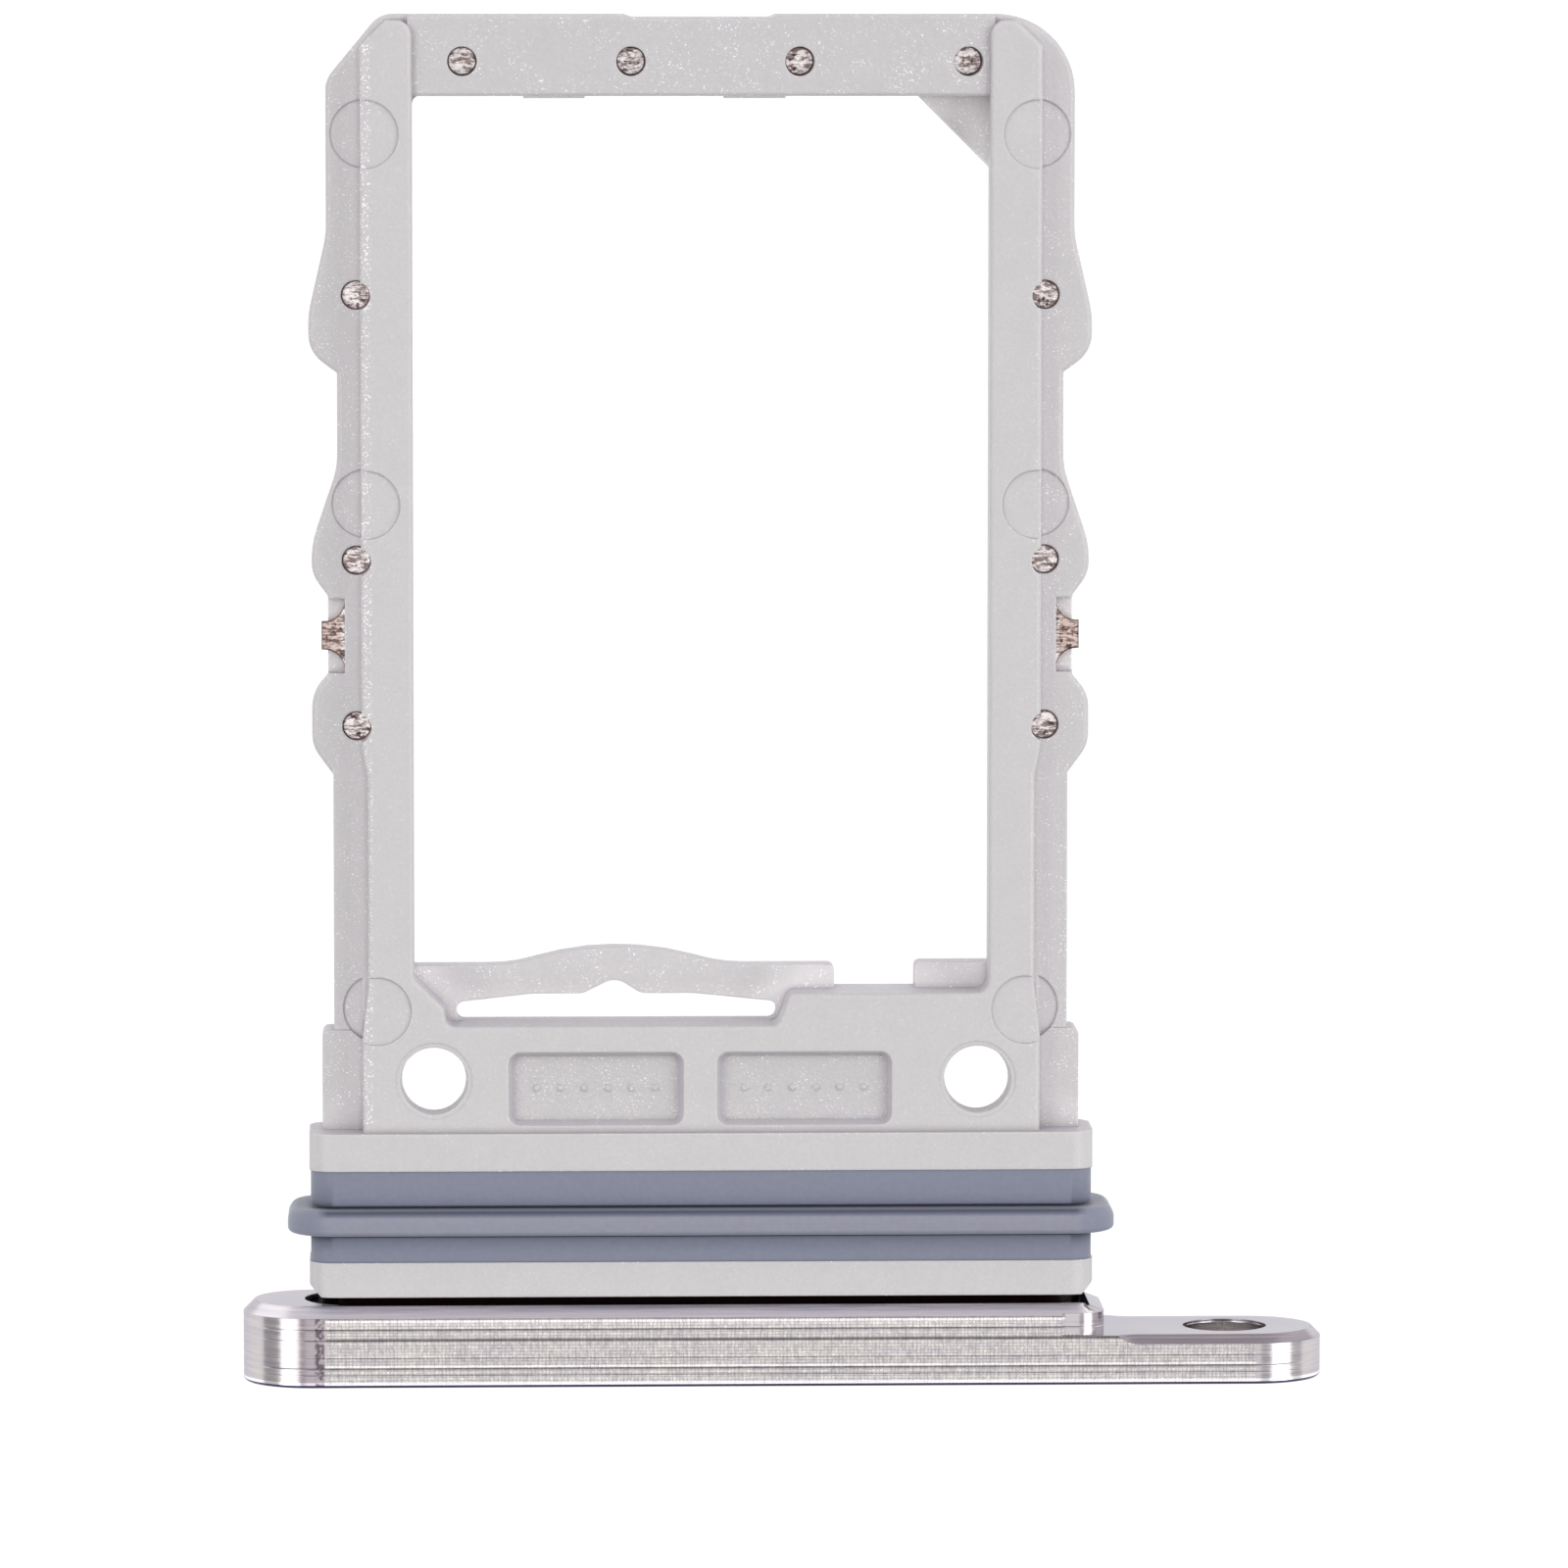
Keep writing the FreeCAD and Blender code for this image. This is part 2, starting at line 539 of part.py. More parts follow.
# The lower layer's outline: three lobes a side, a rounded and a bevelled far corner
def frame_outline():
    side = climb(COLLAR_END, [
        ("side_half", "near_lobe_foot"), ("lobe_half", "near_lobe_rise", "lobe_round"),
        ("lobe_half", "near_lobe_flat", "lobe_round"), ("waist_half", "near_lobe_fall"),
        ("waist_half", "waist_length"), ("lobe_half", "mid_lobe_rise", "lobe_round"),
        ("lobe_half", "mid_lobe_flat", "lobe_ease"), ("neck_half", "mid_lobe_fall", "lobe_ease"),
        ("neck_half", "neck_length"), ("far_lobe_half", "far_lobe_rise", "lobe_round"),
        ("far_lobe_half", "far_lobe_flat", "lobe_ease"), ("tip_half", "far_lobe_fall", "lobe_ease")])
    side.insert(0, (of("side_half"), f"{COLLAR_END} - Sizes.root_depth"))
    bevel = [
        ("Sizes.bevel_run - Sizes.tip_half", BAR_END, of("bevel_round")),
        (minus(of("tip_half")), f"{BAR_END} - Sizes.bevel_rise", of("bevel_round"))]
    corner = (of("tip_half"), BAR_END, of("corner_radius"))
    return side + [corner] + far_edge() + bevel + mirrored(side)


# The far edge's shallow dip, from right to left
def far_edge():
    dip = [(plus(of("dip_half"), of("dip_run")), BAR_END), (of("dip_half"), f"{BAR_END} - Sizes.dip_depth")]
    return dip + mirrored(dip)


# The ridges on the rails and the base plate between them, which are one raised layer
def ridge_outline():
    high = plus(PLATE_EDGE, of("plate_step"))
    far = f"{BAR_END} - Sizes.ridge_inset"
    side = climb(COLLAR_END, [
        ("ridge_half", "ridge_foot", "ridge_bend"), ("ridge_waist", "ridge_foot_length", "ridge_bend")])
    side += climb(COLLAR_END, [
        ("ridge_waist", "ridge_jog", "ridge_bend"), ("ridge_half", "ridge_jog_length", "ridge_bend")])
    side.insert(0, (of("ridge_half"), f"{COLLAR_END} - Sizes.root_depth"))
    side += [
        (of("ridge_half"), f"{far} - Sizes.ridge_bevel"), ("Sizes.ridge_half - Sizes.ridge_bevel", far),
        (of("window_half"), far, of("ridge_corner"))]
    root = plus(PLATE_EDGE, of("root_rise"))
    inside = [
        (of("window_half"), high, of("plate_fillet")), (of("plate_right"), high, of("plate_round")),
        ("Sizes.plate_right - Sizes.plate_slope", PLATE_EDGE, of("plate_round")),
        (minus(of("plate_left")), PLATE_EDGE, of("plate_round")),
        (minus(of("plate_left")), root, of("plate_round")),
        (minus(of("window_half")), plus(root, of("root_slope")), of("plate_round"))]
    return side + inside + mirrored(side)


# The lower part of the plate, with the spring that presses the card and the stop beside it
def spring_outline():
    low = f"{PLATE_EDGE} - Sizes.root_depth"
    high = plus(PLATE_EDGE, of("plate_step"))
    face = plus(PLATE_EDGE, of("spring_base"))
    side = plus(of("window_half"), of("root_depth"))
    return [
        (minus(side), low), (side, low), (side, POCKET_START),
        (of("stop_left"), POCKET_START, of("stop_round")), (of("stop_left"), high),
        (of("spring_tip"), high), (of("spring_tip"), face, of("tip_round")),
        (of("fall_x"), face, of("rise_round")),
        (of("crest_x"), plus(face, of("spring_crest")), of("crest_round")),
        (of("rise_x"), face, of("rise_round")), (minus(side), face)]


# The slot that sets the spring free, arched under its bulge
def slot_outline():
    ends = plus(PLATE_EDGE, of("slot_rise"))
    middle = plus(PLATE_EDGE, of("slot_middle"))
    left, right = minus(of("slot_left")), of("slot_right")
    return [
        (left, PLATE_EDGE, of("slot_round")), (right, PLATE_EDGE, of("slot_round")),
        (right, ends, of("slot_round")), (of("slot_bend_right"), middle, of("bend_round")),
        (plus(of("arch_x"), of("arch_right")), middle, of("arch_round")),
        (of("arch_x"), plus(PLATE_EDGE, of("slot_arch")), of("arch_round")),
        ("Sizes.arch_x - Sizes.arch_left", middle, of("arch_round")),
        (of("slot_bend_left"), middle, of("bend_round")), (left, ends, of("slot_round"))]


# The sheet's outline, with an ear under each round window and a contact tab a side
def sheet_outline():
    tip = plus(SOCKET_FLOOR, of("sheet_short"))
    shoulder = plus(COLLAR_END, of("sheet_shoulder"))
    side = [(of("sheet_tail"), tip), (of("sheet_tail"), shoulder), (of("sheet_half"), shoulder)]
    side += sheet_ear(of("near_peep"))
    low, high = f"{TAB_MIDDLE} - Sizes.tab_half", plus(TAB_MIDDLE, of("tab_half"))
    reach = plus(of("notch_half"), of("notch_overlap"))
    side += [
        (of("sheet_half"), f"{TAB_MIDDLE} - ({reach})"), (of("tab_root"), f"{TAB_MIDDLE} - ({reach})"),
        (of("tab_root"), low, of("tab_flare")), (of("tab_reach"), low),
        (of("tab_reach"), high), (of("tab_root"), high, of("tab_flare")),
        (of("tab_root"), plus(TAB_MIDDLE, reach)), (of("sheet_half"), plus(TAB_MIDDLE, reach))]
    side += sheet_ear(of("mid_peep")) + sheet_ear(of("far_peep"))
    side.append((of("sheet_half"), f"{BAR_END} - Sizes.sheet_margin", of("sheet_corner")))
    return side + mirrored(side)


def sheet_ear(place):
    low = f"{COLLAR_END} + {place} - Sizes.sheet_ear_half"
    high = f"{COLLAR_END} + {place} + Sizes.sheet_ear_half"
    base, out = of("sheet_half"), of("sheet_ear")
    return [(base, low), (out, low), (out, high), (base, high)]


def draw_both_sides(sketch, corners):
    draw_outline(sketch, corners)
    draw_outline(sketch, mirrored(corners))


def draw_collar_section(sketch, grow):
    """The collar's rounded section, grown outward by a formula."""
    half, thick = plus(of("collar_half"), grow), plus(of("collar_thick"), grow)
    draw_box(sketch, minus(half), half, minus(thick), thick, plus(of("collar_corner"), grow))


def draw_locators(sketch):
    for side in (minus(of("locator_half")), of("locator_half")):
        place = plus(side, of("locator_shift"))
        draw_circle(sketch, place, f"{PLATE_EDGE} - Sizes.locator_inset", of("locator_radius"))


# The moulded frame, built up in layers and then hollowed from below
def make_tray_frame():
    body = new_body("tray_frame")
    lower = new_sketch(body, "LowerLayer", "XY_Plane", UNDERSIDE)
    draw_outline(lower, frame_outline())
    half = of("window_half")
    draw_box(lower, minus(half), half, PLATE_EDGE, BAR_START, of("window_corner"))
    layer = raise_pad(body, lower, plus(of("frame_bottom"), of("flange_top")))
    inside = lambda p: abs(p.x) < worth(half) + CLOSE and p.y < worth(BAR_START) + CLOSE
    level = lambda p: near(p.z, UNDERSIDE) or near(p.z, of("flange_top"))
    root = worth(COLLAR_END) - worth(of("root_depth")) + CLOSE
    soften(body, "Chamfer", layer, lambda p: level(p) and not inside(p) and p.y > root, of("edge_bevel"))

    raised = new_sketch(body, "Ridges", "XY_Plane", of("low_top"))
    draw_outline(raised, ridge_outline())
    ridges = raise_pad(body, raised, "Sizes.frame_top - Sizes.low_top")
    soften(body, "Fillet", ridges, lambda p: near(p.z, of("frame_top")) and p.y > root, of("top_round"))

    bar = new_sketch(body, "EndBar", "XY_Plane", of("low_top"))
    side = plus(of("window_half"), of("top_round"))
    right_end = [(minus(side), BAR_START), (side, BAR_START), (side, BAR_END)]
    draw_outline(bar, right_end + far_edge() + [(minus(side), BAR_END)])
    end_bar = raise_pad(body, bar, "Sizes.bar_top - Sizes.low_top")
    dip = worth(f"{BAR_END} - Sizes.dip_depth") - CLOSE
    outer = lambda p: near(p.z, of("bar_top")) and (near(p.y, BAR_START) or p.y > dip)
    soften(body, "Chamfer", end_bar, outer, of("bar_bevel"))

    add_side_pads(body)
    add_collar(body)
    hollow_for_card(body)
    add_spring(body)
    fit_sheet(body)
    mark_plate(body)
    return body


def add_side_pads(body):
    pads = new_sketch(body, "SidePads", "XY_Plane", UNDERSIDE)
    inner = "Sizes.ridge_half - Sizes.root_depth"
    low, high = f"{COLLAR_END} - Sizes.root_depth", plus(COLLAR_END, of("pad_length"))
    draw_both_sides(pads, [
        (inner, low), (of("pad_half"), low), (of("pad_half"), high, of("pad_round")), (inner, high)])
    raise_pad(body, pads, plus(of("frame_bottom"), of("pad_top")))


# The collar with the groove for the sealing ring, and the tongue that enters the bar
def add_collar(body):
    collar = new_sketch(body, "Collar", "XZ_Plane", COLLAR_START)
    draw_collar_section(collar, "0")
    raise_pad(body, collar, of("collar_length"), True)

    groove = new_sketch(body, "SealGroove", "XZ_Plane", SEAL_START)
    draw_collar_section(groove, SPILL)
    draw_collar_section(groove, minus(of("seal_seat")))
    cut_pocket(body, groove, of("seal_width"))

    above = plus(of("collar_thick"), SPILL)
    bevels = new_sketch(body, "CollarBevels", "XY_Plane", above)
    half, out = of("collar_half"), plus(of("collar_half"), SPILL)
    inner, high = f"{half} - Sizes.collar_bevel", plus(COLLAR_START, of("collar_bevel"))
    draw_both_sides(bevels, [
        (inner, COLLAR_START), (inner, f"{COLLAR_START} - {SPILL}"), (out, f"{COLLAR_START} - {SPILL}"),
        (out, high), (half, high)])
    cut_pocket(body, bevels, f"2 * ({above})")

    tongue = new_sketch(body, "Tongue", "XZ_Plane", SOCKET_FLOOR)
    draw_round_ended(tongue, minus(of("tongue_half")), of("tongue_half"), of("tongue_thick"))
    raise_pad(body, tongue, f"{COLLAR_START} - ({SOCKET_FLOOR})", True)


# The card's pocket opens downward and leaves a ledge above the card on both sides
def hollow_for_card(body):
    pocket = new_sketch(body, "CardPocket", "XY_Plane", UNDERSIDE)
    half = of("card_half")
    draw_box(pocket, minus(half), half, POCKET_START, BAR_START, of("card_corner"))
    cut_pocket(body, pocket, plus(of("frame_bottom"), of("ledge_under")), True)


# What lies in the card's own level: the spring, the corner web and the two lips
def add_spring(body):
    spring = new_sketch(body, "Spring", "XY_Plane", UNDERSIDE)
    draw_outline(spring, spring_outline())
    draw_outline(spring, slot_outline())
    thickness = plus(of("frame_bottom"), of("low_top"))
    raise_pad(body, spring, thickness)

    web = new_sketch(body, "CornerWeb", "XY_Plane", UNDERSIDE)
    side, far = plus(of("card_half"), of("lip_reach")), plus(BAR_START, of("lip_reach"))
    run = f"{side} - Sizes.web_start"
    draw_outline(web, [
        ("Sizes.web_start - Sizes.lip_reach", far), (side, f"{BAR_START} - ({run})"), (side, far)])
    raise_pad(body, web, thickness)

    lips = new_sketch(body, "Lips", "XY_Plane", UNDERSIDE)
    for middle in (of("left_lip"), of("right_lip")):
        left, right = f"{middle} - Sizes.lip_length / 2", f"{middle} + Sizes.lip_length / 2"
        draw_box(lips, left, right, f"{BAR_START} - Sizes.lip_reach", far)
    raise_pad(body, lips, thickness)


# The space that the sheet fills, its round windows and the notches round its tabs
def fit_sheet(body):
    space = new_sketch(body, "SheetSpace", "XY_Plane", SHEET_UNDER)
    draw_sheet(space)
    cut_pocket(body, space, of("sheet_thick"), True)

    notches = new_sketch(body, "TabNotches", "XY_Plane", SHEET_UNDER)
    low, high = f"{TAB_MIDDLE} - Sizes.notch_half", plus(TAB_MIDDLE, of("notch_half"))
    out = plus(of("lobe_half"), SPILL)
    draw_both_sides(notches, [(of("tab_root"), low), (out, low), (out, high), (of("tab_root"), high)])
    cut_pocket(body, notches, f"{SPILL} + Sizes.flange_top - ({SHEET_UNDER})", True)

    peeps = new_sketch(body, "RoundWindows", "XY_Plane", of("frame_top"))
    for number in range(round(worth(of("bar_peep_count")))):
        place = f"Sizes.bar_peep_first + {number} * Sizes.bar_peep_pitch"
        draw_circle(peeps, place, plus(BAR_START, of("bar_peep")), of("peep_radius"))
    for name in ("near_peep", "mid_peep", "far_peep"):
        for side in (minus(of("peep_half")), of("peep_half")):
            draw_circle(peeps, side, plus(COLLAR_END, of(name)), of("peep_radius"))
    cut_pocket(body, peeps, "Sizes.frame_top - Sizes.sheet_top")


def draw_sheet(sketch):
    draw_outline(sketch, sheet_outline())
    inner, corner = of("sheet_window"), of("sheet_window_corner")
    low, high = f"{PLATE_EDGE} - Sizes.sheet_plate", plus(BAR_START, of("sheet_gap"))
    draw_box(sketch, minus(inner), inner, low, high, corner)


# Locating holes and two recesses
def mark_plate(body):
    holes = new_sketch(body, "LocatingHoles", "XY_Plane", of("frame_top"))
    draw_locators(holes)
    cut_pocket(body, holes, FRAME_LEVELS)

    recesses = new_sketch(body, "Recesses", "XY_Plane", of("frame_top"))
    middle = f"{PLATE_EDGE} - Sizes.recess_inset"
    for place in (of("left_recess"), of("right_recess")):
        left, right = f"{place} - Sizes.recess_length / 2", f"{place} + Sizes.recess_length / 2"
        low, high = f"{middle} - Sizes.recess_width / 2", f"{middle} + Sizes.recess_width / 2"
        draw_box(recesses, left, right, low, high, of("recess_corner"))
    cut_pocket(body, recesses, of("recess_depth"), draft=minus(of("recess_draft")))


# The stamped sheet inside the moulding
def make_metal_insert():
    body = new_body("metal_insert")
    blank = new_sketch(body, "Sheet", "XY_Plane", SHEET_UNDER)
    draw_sheet(blank)
    draw_locators(blank)
    raise_pad(body, blank, of("sheet_thick"))
    return body


# The sealing ring, a flat band with a rounded bead
def make_seal_ring():
    body = new_body("seal_ring")
    band = new_sketch(body, "Band", "XZ_Plane", SEAL_START)
    draw_collar_section(band, minus(of("seal_clearance")))
    draw_collar_section(band, minus(of("seal_seat")))
    raise_pad(body, band, of("seal_width"), True)

    bead_start = f"{SEAL_START} + Sizes.bead_offset - Sizes.bead_width / 2"
    bead = new_sketch(body, "Bead", "XZ_Plane", bead_start)
    draw_collar_section(bead, of("bead_reach"))
    draw_collar_section(bead, minus(of("seal_seat")))
    lip = raise_pad(body, bead, of("bead_width"), True)
    ends = (bead_start, f"{bead_start} + Sizes.bead_width")
    proud = lambda p: abs(p.x) > worth(of("collar_half")) or abs(p.z) > worth(of("collar_thick"))
    on_end = lambda p: any(near(p.y, end) for end in ends)
    soften(body, "Fillet", lip, lambda p: proud(p) and on_end(p), of("bead_round"))
    return body


parts = [make_cap(), make_tray_frame(), make_metal_insert(), make_seal_ring()]
doc.recompute()

for thing in doc.Objects:
    if "Invalid" in thing.State or "Error" in thing.State:
        raise ValueError(f"{thing.Name} is {thing.State}")
for part in parts:
    if part.Shape.isNull() or not part.Shape.isValid() or len(part.Shape.Solids) != 1:
        raise ValueError(f"{part.Label} is not one sound solid")

os.makedirs("parts", exist_ok=True)
for part in parts:
    part.Shape.exportStep(f"parts/{part.Label}.step")
    box = part.Shape.BoundBox
    spans = " x ".join(f"{span:.2f}" for span in (box.XLength, box.YLength, box.ZLength))
    print(f"{part.Label}: {part.Shape.Volume:.3f} mm3, {spans} mm")
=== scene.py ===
# %% [markdown]
# # A card tray of a phone
#
# The tray is about as long as a fingernail. It has four pieces: a milled steel bar that
# closes the slot in the phone's side, a moulded plastic frame that carries the card, a
# stamped steel sheet inside that frame, and a soft sealing ring. The solids come ready
# made, in metres. This lesson finishes their surfaces and photographs them on a light
# table.

# %% Load the solids
import math
import bmesh
import bpy
from mathutils import Matrix, Vector


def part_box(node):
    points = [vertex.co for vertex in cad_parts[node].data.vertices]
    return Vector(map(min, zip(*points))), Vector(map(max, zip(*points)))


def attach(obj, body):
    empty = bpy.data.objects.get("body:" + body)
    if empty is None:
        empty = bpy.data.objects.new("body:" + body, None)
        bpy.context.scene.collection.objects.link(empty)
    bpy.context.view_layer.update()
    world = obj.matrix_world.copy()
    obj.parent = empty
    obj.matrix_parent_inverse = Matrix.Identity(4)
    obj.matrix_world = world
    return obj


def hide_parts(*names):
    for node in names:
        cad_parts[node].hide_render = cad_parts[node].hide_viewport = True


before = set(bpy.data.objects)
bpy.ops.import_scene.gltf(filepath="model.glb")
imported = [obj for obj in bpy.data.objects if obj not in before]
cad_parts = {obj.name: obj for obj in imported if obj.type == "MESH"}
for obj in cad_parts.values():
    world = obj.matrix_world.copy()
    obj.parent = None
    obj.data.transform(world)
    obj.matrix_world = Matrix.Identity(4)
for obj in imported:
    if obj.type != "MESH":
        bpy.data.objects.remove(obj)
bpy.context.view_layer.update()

# %% [markdown]
# ## Measuring from the tray's own lines
#
# A maker measures this part in millimetres from three lines: the tray's centre line, the
# bar's outer face and the middle of its thickness. The solids' own boxes say where those
# lines are, so nothing has to be placed by eye.

# %% The tray's own lines
MM = 0.001
bar_low, bar_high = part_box("cap")
frame_low, frame_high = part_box("tray_frame")
centre_line = (frame_low.x + frame_high.x) / 2
outer_face = bar_low.y
mid_level = (bar_low.z + bar_high.z) / 2


def at(x, y, z):
    """A place in millimetres from the tray's own lines, in metres."""
    return Vector((centre_line + x * MM, outer_face + y * MM, mid_level + z * MM))


print("centre line", round(centre_line / MM, 3), "outer face", round(outer_face / MM, 3))

# %% [markdown]
# ## The camera
#
# The tray was photographed from 14 cm with a long lens, almost straight down. The camera
# leans five degrees towards the frame's far end, so it looks down on the bar's inner
# faces, and two degrees to the left.

# %% Camera
DISTANCE = 140.34
LEAN, ASIDE, TWIST = math.radians(5.34), math.radians(-2.0), math.radians(0.03)
AIM = (1.195, 8.558, 0.0)
PHOTO_PIXELS, FOCAL_PIXELS, SENSOR = 1600, 10000, 36
NEAREST, FURTHEST = 0.01, 10

away = Vector((math.sin(ASIDE) * math.cos(LEAN), math.sin(LEAN), math.cos(LEAN) * math.cos(ASIDE)))
level = Vector((0, 1, 0)).cross(away).normalized()
upward = away.cross(level)
side = level * math.cos(TWIST) + upward * math.sin(TWIST)
top = upward * math.cos(TWIST) - level * math.sin(TWIST)

lens = bpy.data.cameras.new("camera")
lens.lens = SENSOR * FOCAL_PIXELS / PHOTO_PIXELS
lens.sensor_width = SENSOR
lens.clip_start, lens.clip_end = NEAREST, FURTHEST
camera = bpy.data.objects.new("camera", lens)
place = at(*AIM) + away * DISTANCE * MM
camera.matrix_world = Matrix.Translation(place) @ Matrix((side, top, away)).transposed().to_4x4()
bpy.context.scene.collection.objects.link(camera)
bpy.context.scene.camera = camera
print("lens", lens.lens, "mm, camera at", [round(v / MM, 1) for v in place])

# %% [markdown]
# ## The light table
#
# Small bright parts are shot on a light table: a white sheet that glows, so that no
# shadow shows. A plane with a little white paint and a strong glow does the same.

# %% Light table
TABLE_SIZE, TABLE_DROP = 3.0, 0.02 * MM
TABLE_WHITE, TABLE_GLOW = 0.12, 0.97
TABLE_ROUGHNESS, TABLE_GLOSS = 0.9, 0.1


def nodes_of(tree):
    """An empty node tree, and short ways to add a node and a link."""
    tree.nodes.clear()

    def add(kind, **settings):
        node = tree.nodes.new("ShaderNode" + kind)
        for key, value in settings.items():
            if key in node.inputs:
                node.inputs[key].default_value = value
            else:
                setattr(node, key, value)
        return node

    return add, tree.links.new


def light_table():
    shape = bmesh.new()
    bmesh.ops.create_grid(shape, x_segments=1, y_segments=1, size=TABLE_SIZE / 2)
    bmesh.ops.translate(shape, vec=(0, 0, -TABLE_DROP), verts=shape.verts)
    mesh = bpy.data.meshes.new("light_table")
    shape.to_mesh(mesh)
    shape.free()
    table = bpy.data.objects.new("light_table", mesh)
    bpy.context.scene.collection.objects.link(table)
    paint = bpy.data.materials.new("white_table")
    paint.use_nodes = True
    add, link = nodes_of(paint.node_tree)
    white = add("BsdfPrincipled", **{
        "Base Color": (TABLE_WHITE, TABLE_WHITE, TABLE_WHITE, 1),
        "Roughness": TABLE_ROUGHNESS, "Specular IOR Level": TABLE_GLOSS,
        "Emission Color": (1, 1, 1, 1), "Emission Strength": TABLE_GLOW})
    link(white.outputs[0], add("OutputMaterial").inputs[0])
    mesh.materials.append(paint)
    print("light table", TABLE_SIZE, "m wide")


light_table()

# %% [markdown]
# ## The soft boxes
#
# A long soft box stands on each side above the table, the right one a little lower, and a
# small one hangs overhead for the flat faces. The side ones are set by angle, as the tray
# sees them, because their tilt and spread decide where the white bands on the bar's round
# ends are, and how wide.

# %% Soft boxes
BOX_REACH, BOX_LENGTH = 0.30, 0.45
LEFT_TILT, LEFT_SPREAD = math.radians(40), math.radians(16)
RIGHT_TILT, RIGHT_SPREAD = math.radians(49), math.radians(17)
BOX_BRIGHTNESS = 1.7
ROOF_HEIGHT, ROOF_SIZE, ROOF_BRIGHTNESS = 0.40, 0.20, 0.55
ROOF_DIRECTION = (0, -0.09, 1)


def soft_box(name, direction, distance, width, length, brightness):
    """A lamp that faces the tray from a direction, its length along Y."""
    lamp = bpy.data.lights.new(name, "AREA")
    lamp.shape = "RECTANGLE"
    lamp.size, lamp.size_y = width, length
    lamp.energy = brightness * math.pi * width * length
    holder = bpy.data.objects.new(name, lamp)
    back = Vector(direction).normalized()
    across = Vector((0, 1, 0)).cross(back).normalized()
    facing = Matrix((across, back.cross(across), back)).transposed().to_4x4()
    holder.matrix_world = Matrix.Translation(back * distance) @ facing
    bpy.context.scene.collection.objects.link(holder)
    print(name, round(width, 3), "by", length, "m")


def side_box(name, tilt, half_spread, side_of):
    width = 2 * BOX_REACH * math.tan(half_spread)
    direction = (side_of * math.sin(tilt), 0.0, math.cos(tilt))
    soft_box(name, direction, BOX_REACH, width, BOX_LENGTH, BOX_BRIGHTNESS)


side_box("box_left", LEFT_TILT, LEFT_SPREAD, -1)
side_box("box_right", RIGHT_TILT, RIGHT_SPREAD, 1)
soft_box("roof", ROOF_DIRECTION, ROOF_HEIGHT, ROOF_SIZE, ROOF_SIZE, ROOF_BRIGHTNESS)

# %% [markdown]
# ## The room
#
# Polished steel shows the room that it stands in, so the room matters too. It is grey all
# round, darker in front of the bar's outer face and a little lighter to the right, which
# two Map Range nodes on the direction give.

# %% The room
ROOM_DARK, ROOM_LIGHT, ROOM_TURNS = 0.14, 0.66, (-0.9, 0.1)
ROOM_LEFT, ROOM_RIGHT = 0.85, 1.25
ROOM_COLOUR = (1.0, 0.97, 1.03, 1)


def grey_room():
    """A room that is darker towards the bar's outer face and lighter to the right."""
    room = bpy.data.worlds.new("room")
    bpy.context.scene.world = room
    room.use_nodes = True
    add, link = nodes_of(room.node_tree)
    way = add("TexCoord")
    parts = add("SeparateXYZ")
    link(way.outputs["Generated"], parts.inputs[0])
    depth = add("MapRange", **{
        "From Min": ROOM_TURNS[0], "From Max": ROOM_TURNS[1], "To Min": ROOM_DARK, "To Max": ROOM_LIGHT})
    link(parts.outputs["Y"], depth.inputs["Value"])
    across = add("MapRange", **{
        "From Min": -1.0, "From Max": 1.0, "To Min": ROOM_LEFT, "To Max": ROOM_RIGHT})
    link(parts.outputs["X"], across.inputs["Value"])
    both = add("Math", operation="MULTIPLY")
    link(depth.outputs[0], both.inputs[0])
    link(across.outputs[0], both.inputs[1])
    glow = add("Background", **{"Color": ROOM_COLOUR})
    link(both.outputs[0], glow.inputs["Strength"])
    link(glow.outputs[0], add("OutputWorld").inputs[0])
    print("room from", ROOM_DARK, "to", ROOM_LIGHT)


grey_room()
bpy.context.scene.view_settings.view_transform = "Standard"

# %% [markdown]
# ## Finishes
#
# Each finish is worked out in millimetres on the piece itself, so its grain keeps one
# size all over. Small helpers do the arithmetic on a value, pick out a stretch of the
# piece by its place, and stretch a noise where a finish has a direction. A finish is then
# read like a recipe: a tone, and one tint after another.

# %% Arithmetic for a finish
def finish(name):
    """A new material with a principled shader, ready to be given its grain."""
    paint = bpy.data.materials.new(name)
    paint.use_nodes = True
    add, link = nodes_of(paint.node_tree)
    shader = add("BsdfPrincipled")
    link(shader.outputs[0], add("OutputMaterial").inputs[0])
    return paint, shader, add, link


def spread(add, link, value, low, high, new_low, new_high):
    """The value, spread from one range to another."""
    node = add("MapRange")
    for key, number in (("From Min", low), ("From Max", high), ("To Min", new_low), ("To Max", new_high)):
        node.inputs[key].default_value = number
    link(value, node.inputs["Value"])
    return node.outputs[0]


def of_two(add, link, operation, first, second):
    node = add("Math", operation=operation)
    link(first, node.inputs[0])
    link(second, node.inputs[1])
    return node.outputs[0]


def times(add, link, first, second):
    return of_two(add, link, "MULTIPLY", first, second)


def larger(add, link, first, second):
    return of_two(add, link, "MAXIMUM", first, second)


def size_of(add, link, value, middle=0.0):
    """How far the value is from the middle, on either side."""
    off = add("Math", operation="SUBTRACT")
    off.inputs[1].default_value = middle
    link(value, off.inputs[0])
    node = add("Math", operation="ABSOLUTE")
    link(off.outputs[0], node.inputs[0])
    return node.outputs[0]


# %% Places on a piece
EDGE_TURN = (0.995, 0.90)
SHORT_RUN = 0.02


def axes_of(add, link, kind="Object"):
    """X, Y and Z of the piece's own coordinates, or of its normal."""
    spot = add("TexCoord")
    parts = add("SeparateXYZ")
    link(spot.outputs[kind], parts.inputs[0])
    return parts.outputs


